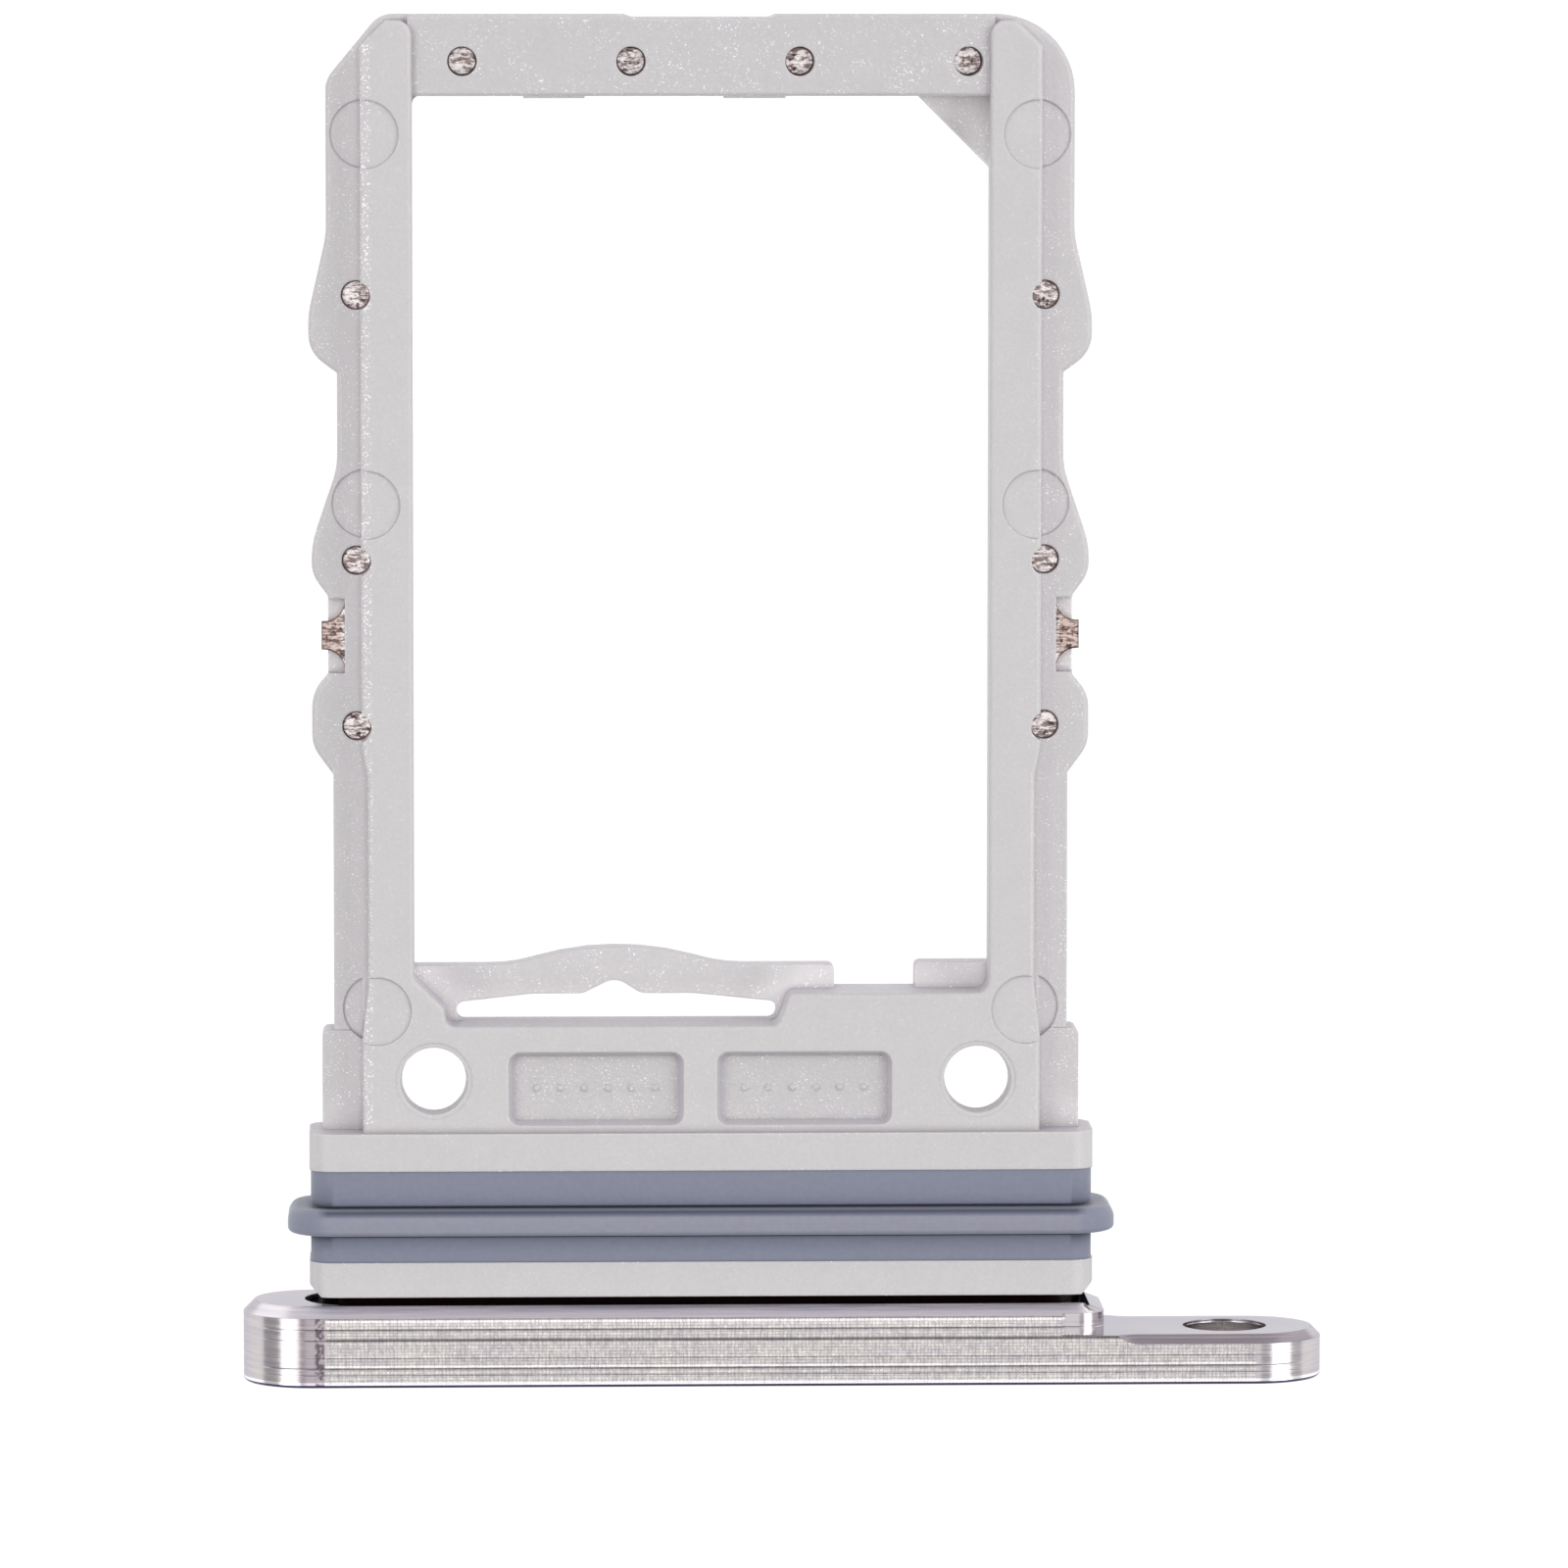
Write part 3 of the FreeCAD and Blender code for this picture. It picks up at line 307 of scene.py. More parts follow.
def between(add, link, value, low, high, soft):
    """1 between two places and 0 outside, with ends that are soft over some millimetres."""
    into = spread(add, link, value, low - soft * MM, low + soft * MM, 0, 1)
    out = spread(add, link, value, high - soft * MM, high + soft * MM, 1, 0)
    return times(add, link, into, out)


def past_x(add, link, value, x):
    """0 before a place along X, in millimetres, and 1 after it."""
    return spread(add, link, value, at(x, 0, 0).x, at(x + SHORT_RUN, 0, 0).x, 0, 1)


def rounded_edges(add, radius):
    """The normal, as if every true edge were rounded to so many millimetres."""
    return add("Bevel", samples=8, Radius=radius * MM).outputs[0]


def edge_amount(add, link, rounded):
    """1 on an edge and 0 on a flat face, by how far the rounding turns the surface."""
    true = add("NewGeometry")
    turn = add("VectorMath", operation="DOT_PRODUCT")
    link(rounded, turn.inputs[0])
    link(true.outputs["True Normal"], turn.inputs[1])
    return spread(add, link, turn.outputs["Value"], *EDGE_TURN, 0, 1)


def creases(add, link, reach):
    """1 in the open and less in a crease, for painted shade in creases and painted light in walled-in
    places.
    """
    shade = add("AmbientOcclusion", samples=8, Distance=reach * MM)
    return shade.outputs["AO"]


# %% Grain, tints and bumps
PLAIN = (1, 1, 1, 1)


def grain(add, link, per_mm, detail=2.0, roughness=0.5, stretch=(1, 1, 1)):
    """Noise with so many bumps a millimetre, stretched along X, Y or Z."""
    spot = add("TexCoord")
    turn = add("Mapping")
    turn.inputs["Scale"].default_value = [per_mm / MM / s for s in stretch]
    link(spot.outputs["Object"], turn.inputs["Vector"])
    noise = add("TexNoise", Scale=1.0, Detail=detail, Roughness=roughness)
    link(turn.outputs[0], noise.inputs["Vector"])
    return noise.outputs["Fac"]


def mixed(add, link, amount, one, other):
    """A colour between two."""
    node = add("MixRGB", Color1=one, Color2=other)
    link(amount, node.inputs["Fac"])
    return node.outputs[0]


def tinted(add, link, colour, amount, one, other):
    """The colour, multiplied by one tint or the other."""
    tint = mixed(add, link, amount, one, other)
    node = add("MixRGB", blend_type="MULTIPLY", Fac=1.0)
    link(colour, node.inputs["Color1"])
    link(tint, node.inputs["Color2"])
    return node.outputs[0]


def raised(add, link, height, depth, below=None):
    """A bump of so many millimetres, on top of another."""
    bump = add("Bump", Strength=1.0, Distance=depth * MM)
    link(height, bump.inputs["Height"])
    if below is not None:
        link(below, bump.inputs["Normal"])
    return bump.outputs[0]


# %% [markdown]
# ## Moulded plastic: its zones
#
# The mould is polished where it makes the ridges and the plate, and spark eroded below
# them, so the low flanges have a fine sandy grain and the tops are nearly smooth. The
# height on the piece decides between the two. The low parts are painted a touch darker,
# and the walls a shade darker and more lavender than the tops, which is painted shade.
# Along the ridges' outer edges the grain is coarser, and a frosted band of painted white
# glints runs there, as if every grain met a lamp at some angle. The low flanges and lips
# are painted paler, most where walls shut them in: painted light that lifts their shade.

# %% Zones of the moulding
SANDY_BELOW, SMOOTH_ABOVE = 0.50, 0.60
STEEP_TO_LEVEL = (0.4, 0.6)
THICK_ABOVE, THINNEST, WALL_REACH = 0.45, -0.14, 0.6
OPEN_TO_WALLED, LEAST_PAINTED_LIGHT = (0.95, 0.70), 0.1
FROSTED_FROM, FROSTED_TO, FROSTED_SOFT = 4.68, 4.86, 0.03
FROST_LEAVES, FROSTED_RIGHT = (0.9, 0.6), 0.4
PLATE_START, START_RUN = 3.64, 0.1


def mould_zones(add, link):
    """Where the moulding is sunken, a wall, low and walled in for painted light, and frosted, each from 0
    to 1.
    """
    spot = axes_of(add, link)
    facing = axes_of(add, link, "Normal")
    low, high = at(0, 0, SANDY_BELOW).z, at(0, 0, SMOOTH_ABOVE).z
    sunken = spread(add, link, spot["Z"], low, high, 1, 0)
    wall = spread(add, link, size_of(add, link, facing["Z"]), *STEEP_TO_LEVEL, 1, 0)

    # Painted light: the low flanges and lips are painted paler, most where walls shut them in.
    low_painted_light = spread(add, link, spot["Z"], at(0, 0, THICK_ABOVE).z, at(0, 0, THINNEST).z, 0, 1)
    low_painted_light = times(add, link, low_painted_light, spread(add, link, facing["Z"], *STEEP_TO_LEVEL, 0, 1))
    walled_in = spread(add, link, creases(add, link, WALL_REACH), *OPEN_TO_WALLED, LEAST_PAINTED_LIGHT, 1)
    low_painted_light = times(add, link, low_painted_light, walled_in)

    outward = size_of(add, link, spot["X"], centre_line)
    frosted = between(add, link, outward, FROSTED_FROM * MM, FROSTED_TO * MM, FROSTED_SOFT)
    frosted = times(add, link, frosted, spread(add, link, sunken, *FROST_LEAVES, 0, 1))
    to_right = spread(add, link, spot["X"], at(-1, 0, 0).x, at(1, 0, 0).x, 1, FROSTED_RIGHT)
    frosted = times(add, link, frosted, to_right)
    start = at(0, PLATE_START, 0).y
    on_plate = spread(add, link, spot["Y"], start, start + START_RUN * MM, 0, 1)
    return sunken, wall, low_painted_light, times(add, link, frosted, on_plate)


# %% [markdown]
# ## Moulded plastic: its colour and grain
#
# Each grain of the sand gets a tiny white painted glint, as if it caught the light, most of
# all in the frosted band. The Bevel node rounds the true edges in the shading, as a real
# moulding's edges are, and tells the glints where the edges run. The edges are also painted
# a little lighter, a painted highlight. An Ambient Occlusion node paints a thin grey line of
# shade in the creases. The recess floors get the coarsest grain.

# %% Moulded plastic
EDGE_RADIUS, CREASE_REACH, CREASE_FADE = 0.045, 0.09, (0.45, 0.95)
PALE, PALER = (0.563, 0.555, 0.546, 1), (0.592, 0.583, 0.572, 1)
DUST_DARK, DUST_LIGHT, DUST_FADE = (0.93, 0.93, 0.94, 1), (1.07, 1.07, 1.06, 1), (0.30, 0.70, 0.25, 0.75)
# The tints below paint shade into creases and onto walls, make the low parts a touch darker, and paint
# light onto the low flanges and lips, a highlight on the edges and white glints on the grains.
PAINTED_CREASE_SHADE, SUNKEN_TINT = (0.80, 0.78, 0.81, 1), (0.97, 0.965, 0.975, 1)
PAINTED_THIN_LIGHT, PAINTED_WALL_SHADE = (1.48, 1.48, 1.47, 1), (0.91, 0.89, 0.94, 1)
PAINTED_EDGE_HIGHLIGHT, PAINTED_GLINT = (1.15, 1.15, 1.15, 1), (1.7, 1.68, 1.7, 1)
WAVES, SAND, GLINTS, DRIFTS = 2.5, 20, 34, 3.5
FROST_GLINTS, GLINT_FADE, DRIFT_FADE = 0.045, (0.63, 0.72), (0.38, 0.62, 0.1, 1)
SAND_ROUGHNESS = (0.3, 0.7, 0.30, 0.50)
PLASTIC_IOR, SHINES_THROUGH = 1.58, 0.1
SHINE_REACH = (0.10 * MM, 0.09 * MM, 0.08 * MM)


def painted_glints(add, link, frosted, sandy):
    """Painted glints on the grains, as if they caught the light, in drifts, and crowded where the
    moulding is frosted.
    """
    crowd = add("Math", operation="MULTIPLY_ADD")
    link(frosted, crowd.inputs[0])
    crowd.inputs[1].default_value = FROST_GLINTS
    link(grain(add, link, GLINTS, detail=1.0), crowd.inputs[2])
    sparkle = spread(add, link, crowd.outputs[0], *GLINT_FADE, 0, 1)
    drifts = spread(add, link, grain(add, link, DRIFTS, detail=2.0), *DRIFT_FADE)
    sparkle = times(add, link, sparkle, larger(add, link, drifts, frosted))
    return times(add, link, sparkle, sandy)


def moulded_plastic(name, sand_least, sand_most, grit_depth):
    paint, shader, add, link = finish(name)
    sunken, wall, low_painted_light, frosted = mould_zones(add, link)
    shaded = spread(add, link, creases(add, link, CREASE_REACH), *CREASE_FADE, 0, 1)
    edges = rounded_edges(add, EDGE_RADIUS)
    on_edge = times(add, link, edge_amount(add, link, edges), shaded)
    low, high = at(0, 0, SANDY_BELOW).z, at(0, 0, SMOOTH_ABOVE).z
    sandy = spread(add, link, axes_of(add, link)["Z"], low, high, sand_most, sand_least)
    sandy = larger(add, link, sandy, larger(add, link, on_edge, frosted))

    sand = grain(add, link, SAND, detail=3.0, roughness=0.6)
    dusty = spread(add, link, sand, *DUST_FADE)
    colour = mixed(add, link, grain(add, link, WAVES, detail=1.0), PALE, PALER)
    colour = tinted(add, link, colour, dusty, DUST_DARK, DUST_LIGHT)
    # Painted shade: the Ambient Occlusion node darkens the creases.
    colour = tinted(add, link, colour, shaded, PAINTED_CREASE_SHADE, PLAIN)
    # Painted shade on the walls, painted light on the low flanges and lips, a painted highlight on the
    # edges, and the low parts a touch darker.
    for zone, tint in ((sunken, SUNKEN_TINT), (low_painted_light, PAINTED_THIN_LIGHT), (wall, PAINTED_WALL_SHADE), (on_edge, PAINTED_EDGE_HIGHLIGHT)):
        colour = tinted(add, link, colour, zone, PLAIN, tint)
    # Painted glints: white specks where the grains would catch the light.
    colour = tinted(add, link, colour, painted_glints(add, link, frosted, sandy), PLAIN, PAINTED_GLINT)
    link(colour, shader.inputs["Base Color"])
    link(spread(add, link, sand, *SAND_ROUGHNESS), shader.inputs["Roughness"])

    grit = add("Bump", Distance=grit_depth * MM)
    link(sandy, grit.inputs["Strength"])
    link(sand, grit.inputs["Height"])
    link(edges, grit.inputs["Normal"])
    link(grit.outputs[0], shader.inputs["Normal"])
    shader.inputs["IOR"].default_value = PLASTIC_IOR
    shader.inputs["Subsurface Weight"].default_value = SHINES_THROUGH
    shader.inputs["Subsurface Radius"].default_value = SHINE_REACH
    shader.inputs["Subsurface Scale"].default_value = 1.0
    return paint


# %% [markdown]
# ## Painted shade in the socket and round the windows
#
# The frame's tongue sits in the bar's socket, and the narrow gap between the two is painted
# dark brown as painted shade. A ring of painted shade in the same kind of brown stands round
# the foot of each mould pin's window in the sheet. Both are thin and lumpy, so two browns
# and a noise are enough.

# %% Painted shade in the socket and round the windows
LUMPS, FILM_ROUGHNESS = 8, 0.5
# The next two rows are painted shade: the brown in the socket's gap and in the ring round each window.
SOCKET_SHADE_DARK, SOCKET_SHADE_LIGHT, SOCKET_SHADE_GLOSS = (0.006, 0.001, 0.001, 1), (0.016, 0.003, 0.002, 1), 0.05
WINDOW_SHADE_DARK, WINDOW_SHADE_LIGHT, WINDOW_SHADE_GLOSS = (0.10, 0.06, 0.055, 1), (0.19, 0.14, 0.14, 1), 0.4


def painted_shade_film(name, dark, light, gloss):
    """A lumpy brown paint for painted shade: in the socket's gap, and in a ring round each window."""
    paint, shader, add, link = finish(name)
    lumps = grain(add, link, LUMPS, detail=2.0)
    link(mixed(add, link, lumps, dark, light), shader.inputs["Base Color"])
    shader.inputs["Roughness"].default_value = FILM_ROUGHNESS
    shader.inputs["Specular IOR Level"].default_value = gloss
    return paint


def socket_shade(name):
    return painted_shade_film(name, SOCKET_SHADE_DARK, SOCKET_SHADE_LIGHT, SOCKET_SHADE_GLOSS)


# %% [markdown]
# ## Milled steel: the cutter's marks
#
# The bar's flat side was faced with a small cutter that ran along it, so its marks run
# along the bar: each pass leaves its own shade and a thin line where it met the next one.
# The shades are painted as the light showed them, so they are partly each pass's own finish
# and partly painted reflection, with two white rows that are painted highlights.
# A colour ramp across the bar gives every pass its shade, a second one the depth of the
# lines. The teeth of the cutter leave a grid of small cells, as a weave has, and a Brick
# texture with its rows in line draws them. Everything is measured in millimetres from the
# outer face.

# %% The cutter's passes
# Partly each pass's own grey and partly painted reflection: the white rows from 0.295 to 0.315 and from
# 0.945 to 0.972 are painted highlights, beside a pass line and near the far edge of the faced side.
PASS_TONES_AND_HIGHLIGHTS = (
    (0.00, 0.62), (0.07, 0.66), (0.15, 0.64), (0.18, 0.50),
    (0.21, 0.64), (0.255, 0.62), (0.27, 0.32), (0.285, 0.46), (0.295, 1.00), (0.315, 1.00), (0.325, 0.62),
    (0.41, 0.56), (0.425, 0.42), (0.44, 0.66), (0.51, 0.60), (0.66, 0.62), (0.675, 0.26), (0.70, 0.28),
    (0.72, 0.58), (0.77, 0.64), (0.81, 0.62), (0.83, 0.36), (0.845, 0.56), (0.86, 0.68), (0.93, 0.66),
    (0.945, 0.95), (0.972, 0.95), (0.982, 0.36), (1.00, 0.42))
PASS_LINES = ((0.175, 0.4), (0.272, 1.0), (0.419, 0.3), (0.677, 0.6), (0.831, 0.7))
LINE_HALF = 0.014
BAR_FACE = 1.0


def ramp(add, link, value, stops):
    """The shade between stops, each a place from 0 to 1 and a grey."""
    node = add("ValToRGB")
    belt = node.color_ramp
    for place, grey in stops[1:-1]:
        belt.elements.new(place).color = (grey, grey, grey, 1)
    for end, (place, grey) in ((0, stops[0]), (-1, stops[-1])):
        belt.elements[end].position = place
        belt.elements[end].color = (grey, grey, grey, 1)
    link(value, node.inputs["Fac"])
    return node.outputs["Color"]


def line_depths():
    stops = [(0.0, 1.0)]
    for middle, depth in PASS_LINES:
        stops += [(middle - LINE_HALF, 1.0), (middle, 1.0 - depth), (middle + LINE_HALF, 1.0)]
    return stops + [(1.0, 1.0)]


print("shades across the bar:", len(PASS_TONES_AND_HIGHLIGHTS), "lines:", len(PASS_LINES))

# %% The cutter's cells
CELL_LENGTH, CELL_WIDTH, CELL_WALL = 0.053, 0.046, 0.012
DARKEST_CELL, WALL_SOFTNESS = (0.15, 0.15, 0.15, 1), 0.9
SWAY_GRAIN, SWAY = 9.0, (0.05, 0.02, 0)


def cutter_cells(add, link):
    """The grid that the cutter's teeth leave: the walls between cells, and each cell's shade."""
    spot = add("TexCoord")
    to_mm = add("Mapping")
    to_mm.inputs["Scale"].default_value = [1 / MM] * 3
    link(spot.outputs["Object"], to_mm.inputs["Vector"])
    drift = add("TexNoise", Scale=SWAY_GRAIN, Detail=2.0)
    link(to_mm.outputs[0], drift.inputs["Vector"])
    sway = add("VectorMath", operation="MULTIPLY_ADD")
    link(drift.outputs["Color"], sway.inputs[0])
    sway.inputs[1].default_value = SWAY
    link(to_mm.outputs[0], sway.inputs[2])
    cells = add("TexBrick", offset=0.0, squash=1.0, **{
        "Color1": DARKEST_CELL, "Color2": PLAIN, "Mortar": (0, 0, 0, 1), "Scale": 1.0,
        "Mortar Size": CELL_WALL, "Mortar Smooth": WALL_SOFTNESS,
        "Brick Width": CELL_LENGTH, "Row Height": CELL_WIDTH})
    link(sway.outputs[0], cells.inputs["Vector"])
    return cells.outputs["Fac"], cells.outputs["Color"]


# %% [markdown]
# ## Milled steel: its zones
#
# Only the flat side is faced. At its left end the cutter ran out and left a pitted strip.
# Past the milled end and above the step there are no passes. The slope of the raised block
# is painted lighter and the ear's slope darker, as painted light and painted shade. Where a
# face looks and where it lies tell all these apart, so one finish serves the whole bar.

# %% Zones of the bar
FACED_FROM, FACED_TO, FACED_SOFT = -5.38, 7.93, 0.03
RUN_OUT_FROM, RUN_OUT_TO, RUN_OUT_SOFT = -5.53, -5.40, 0.02
MILLED_END, STEP, EAR_FROM = 5.18, 0.735, 5.9
FLAT_FACE, SLOPE_LEAST, SLOPE_MOST, SLOPE_INWARD = (0.96, 0.995), (0.30, 0.40), (0.92, 0.85), (0.20, 0.35)


def bar_zones(add, link, spot):
    """Where the bar is flat, faced, pitted by the cutter's run-out, sloped, and the ear."""
    facing = axes_of(add, link, "Normal")
    level = size_of(add, link, facing["Z"])
    steep = spread(add, link, level, *SLOPE_MOST, 0, 1)
    sloped = times(add, link, spread(add, link, level, *SLOPE_LEAST, 0, 1), steep)
    sloped = times(add, link, sloped, spread(add, link, facing["Y"], *SLOPE_INWARD, 0, 1))
    above_step = spread(add, link, spot["Y"], at(0, STEP, 0).y, at(0, STEP + SHORT_RUN, 0).y, 0, 1)
    scooped = times(add, link, past_x(add, link, spot["X"], MILLED_END), above_step)
    flat = spread(add, link, level, *FLAT_FACE, 0, 1)
    flat = times(add, link, flat, spread(add, link, scooped, 0, 1, 1, 0))
    faced, run_out = (
        times(add, link, flat, between(add, link, spot["X"], at(low, 0, 0).x, at(high, 0, 0).x, soft))
        for low, high, soft in (
            (FACED_FROM, FACED_TO, FACED_SOFT), (RUN_OUT_FROM, RUN_OUT_TO, RUN_OUT_SOFT)))
    return flat, faced, run_out, sloped, past_x(add, link, spot["X"], EAR_FROM)


# %% [markdown]
# ## Milled steel: its colour and grain
#
# Fine streaks run along the whole bar. A thin dark line with a bright one beside it runs
# along its outer edge. The dark one is taken for the edge of a dark blue coat in the
# phone's colour, so the whole outer face gets that coat. The bright one is a painted
# highlight. The edges were stoned, so the Bevel node rounds them, and they are painted
# darker, which is painted shade.

# %% Milled steel
# The edge tint is painted shade, and the bright line's tint a painted highlight.
STONED_EDGE, PAINTED_EDGE_SHADE = 0.02, (0.55, 0.50, 0.54, 1)
DARK_LINE, BRIGHT_LINE, LINE_SOFT = 0.038, 0.080, 0.005
COAT_TINT, PAINTED_LINE_HIGHLIGHT = (0.12, 0.11, 0.20, 1), (2.0, 2.05, 2.2, 1)
BARE_STEEL, STEEL_GLANCE = (0.545, 0.53, 0.55, 1), (0.77, 0.76, 0.82, 1)
STREAKS, STREAK_FADE, STREAK_ROUGHNESS = 26, (0.35, 0.65), (0.3, 0.7, 0.15, 0.24)
STREAK_DARK, STREAK_LIGHT = (0.92, 0.91, 0.94, 1), (1.10, 1.08, 1.04, 1)
CELL_DARK, CELL_LIGHT, CELL_EDGE = (0.94, 0.94, 0.94, 1), (1.22, 1.19, 1.13, 1), (0.84, 0.83, 0.83, 1)
TEETH, TOOTH_FADE = 21, (0.62, 0.38)
TOOTH_LIGHT, TOOTH_DARK = (1.12, 1.11, 1.08, 1), (0.86, 0.84, 0.85, 1)
END_TINT = (0.76, 0.72, 0.75, 1)
PITS, PIT_FADE, PIT_TINT = 14, (0.42, 0.56), (0.35, 0.32, 0.36, 1)
# Painted light on the raised block's slope, painted shade on the ear's slope.
PAINTED_BLOCK_SLOPE_LIGHT, PAINTED_EAR_SLOPE_SHADE = (1.40, 1.40, 1.46, 1), (0.63, 0.595, 0.63, 1)
TOOTH_DEPTH, WALL_DEPTH, STREAK_DEPTH, LINE_DEPTH = 0.003, -0.0006, 0.0010, 0.005


def slopes_light_and_shade(add, link, tone, sloped, on_ear):
    """The slopes with painted light on the raised block and painted shade on the ear."""
    node = add("MixRGB", blend_type="MULTIPLY")
    link(sloped, node.inputs["Fac"])
    link(tone, node.inputs["Color1"])
    link(mixed(add, link, on_ear, PAINTED_BLOCK_SLOPE_LIGHT, PAINTED_EAR_SLOPE_SHADE), node.inputs["Color2"])
    return node.outputs[0]


def edge_lines(add, link, tone, spot):
    """The coat on the outer face, whose edge is the dark line, and the painted highlight beside it."""
    dark_end, bright_end = outer_face + DARK_LINE * MM, outer_face + BRIGHT_LINE * MM
    lit = between(add, link, spot["Y"], dark_end, bright_end, LINE_SOFT)
    # Painted highlight: the bright line beside the coat's edge.
    tone = tinted(add, link, tone, lit, PLAIN, PAINTED_LINE_HIGHLIGHT)
    coated = spread(add, link, spot["Y"], dark_end, outer_face + 1.1 * DARK_LINE * MM, 1, 0)
    return tinted(add, link, tone, coated, PLAIN, COAT_TINT)


def milled_steel():
    paint, shader, add, link = finish("milled_steel")
    spot = axes_of(add, link)
    flat, faced, run_out, sloped, on_ear = bar_zones(add, link, spot)
    across = spread(add, link, spot["Y"], outer_face, outer_face + BAR_FACE * MM, 0, 1)
    streaks = grain(add, link, STREAKS, detail=3.0, stretch=(30, 1, 30))
    teeth = grain(add, link, TEETH, detail=2.0, roughness=0.65, stretch=(1, 2.5, 2.5))
    walls, cells = cutter_cells(add, link)
    walled = times(add, link, faced, walls)

    even = add("MixRGB", Color1=BARE_STEEL)
    link(faced, even.inputs["Fac"])
    link(ramp(add, link, across, PASS_TONES_AND_HIGHLIGHTS), even.inputs["Color2"])
    brushed = spread(add, link, streaks, *STREAK_FADE, 0, 1)
    tone = tinted(add, link, even.outputs[0], brushed, STREAK_DARK, STREAK_LIGHT)
    tone = tinted(add, link, tone, times(add, link, faced, cells), CELL_DARK, CELL_LIGHT)
    tone = tinted(add, link, tone, walled, PLAIN, CELL_EDGE)
    bitten = times(add, link, faced, spread(add, link, teeth, *TOOTH_FADE, 0, 1))
    tone = tinted(add, link, tone, bitten, TOOTH_LIGHT, TOOTH_DARK)
    end_x, faced_x = at(FACED_FROM - FACED_SOFT, 0, 0).x, at(FACED_FROM, 0, 0).x
    plain_end = times(add, link, spread(add, link, spot["X"], end_x, faced_x, 1, 0), flat)
    tone = tinted(add, link, tone, plain_end, PLAIN, END_TINT)
    pits = spread(add, link, grain(add, link, PITS, detail=2.0), *PIT_FADE, 0, 1)
    tone = tinted(add, link, tone, times(add, link, run_out, pits), PLAIN, PIT_TINT)
    tone = slopes_light_and_shade(add, link, tone, sloped, on_ear)
    tone = edge_lines(add, link, tone, spot)
    edges = rounded_edges(add, STONED_EDGE)
    # Painted shade: the rounded edges are painted darker.
    tone = tinted(add, link, tone, edge_amount(add, link, edges), PLAIN, PAINTED_EDGE_SHADE)
    link(tone, shader.inputs["Base Color"])
    link(spread(add, link, streaks, *STREAK_ROUGHNESS), shader.inputs["Roughness"])

    marks = raised(add, link, times(add, link, teeth, faced), TOOTH_DEPTH, edges)
    marks = raised(add, link, walled, WALL_DEPTH, marks)
    marks = raised(add, link, streaks, STREAK_DEPTH, marks)
    lines = ramp(add, link, across, line_depths())
    link(raised(add, link, lines, LINE_DEPTH, marks), shader.inputs["Normal"])
    shader.inputs["Metallic"].default_value = 1.0
    shader.inputs["Specular Tint"].default_value = STEEL_GLANCE
    return paint


# %% [markdown]
# ## The reamed hole
#
# The eject pin's hole was reamed, which leaves bright rings round its wall. In so narrow a
# hole polished metal would mirror only its own dark other side, so the wall is painted a
# matte light grey with rings across its length, which is painted light.

# %% The reamed hole
RINGS, RING_FADE = 2.6, (0.42, 0.58)
# Painted light: light greys, so the matte wall reads bright in its narrow hole.
RING_DARK, RING_LIGHT, REAMED_ROUGHNESS = (0.62, 0.56, 0.62, 1), (0.98, 0.97, 0.99, 1), 0.6


def reamed_steel():
    """The wall of the eject pin's hole, ringed and painted brighter than the milled faces as painted
    light.
    """
    paint, shader, add, link = finish("reamed_steel")
    bands = grain(add, link, RINGS, detail=1.0, stretch=(1, 40, 40))
    ringed = spread(add, link, bands, *RING_FADE, 0, 1)
    link(mixed(add, link, ringed, RING_DARK, RING_LIGHT), shader.inputs["Base Color"])
    shader.inputs["Roughness"].default_value = REAMED_ROUGHNESS
    return paint


# %% [markdown]
# ## Rolled sheet
#
# The sheet in the frame is bright rolled steel, seen only through small round windows and
# as a tab on each side. The rolls leave fine lines in it, which a stretched noise draws,
# and the shears leave its edges dark. The tabs are browner and smoother than the rest.

# %% Rolled sheet
SHEARED_EDGE, SHEET_DARK = 0.05, (0.22, 0.16, 0.15, 1)
ROLL_LINES, ROLL_FADE, ROLL_DEPTH = 20, (0.42, 0.56), 0.010
ROLLED_DARK, ROLLED_LIGHT = (0.26, 0.20, 0.18, 1), (0.96, 0.91, 0.87, 1)
SHEET_PITS, SHEET_PIT_FADE = 12, (0.60, 0.66)
TAB_FROM, TAB_TINT, TAB_RELIEF = 5.12, (0.72, 0.62, 0.58, 1), 0.25
SHEET_ROUGHNESS = 0.25


def rolled_sheet():
    paint, shader, add, link = finish("rolled_sheet")
    lines = grain(add, link, ROLL_LINES, detail=3.0, roughness=0.7, stretch=(3.0, 1, 1))
    colour = mixed(add, link, spread(add, link, lines, *ROLL_FADE, 0, 1), ROLLED_DARK, ROLLED_LIGHT)
    pitted = spread(add, link, grain(add, link, SHEET_PITS, detail=2.0), *SHEET_PIT_FADE, 0, 1)
    colour = tinted(add, link, colour, pitted, PLAIN, SHEET_DARK)
    edges = rounded_edges(add, SHEARED_EDGE)
    colour = tinted(add, link, colour, edge_amount(add, link, edges), PLAIN, SHEET_DARK)
    outward = size_of(add, link, axes_of(add, link)["X"], centre_line)
    on_tab = spread(add, link, outward, TAB_FROM * MM, (TAB_FROM + SHORT_RUN) * MM, 0, 1)
    colour = tinted(add, link, colour, on_tab, PLAIN, TAB_TINT)
    link(colour, shader.inputs["Base Color"])
    marks = raised(add, link, lines, ROLL_DEPTH, edges)
    link(spread(add, link, on_tab, 0, 1, 1.0, TAB_RELIEF), marks.node.inputs["Strength"])
    link(marks, shader.inputs["Normal"])
    shader.inputs["Metallic"].default_value = 1.0
    shader.inputs["Roughness"].default_value = SHEET_ROUGHNESS
    return paint


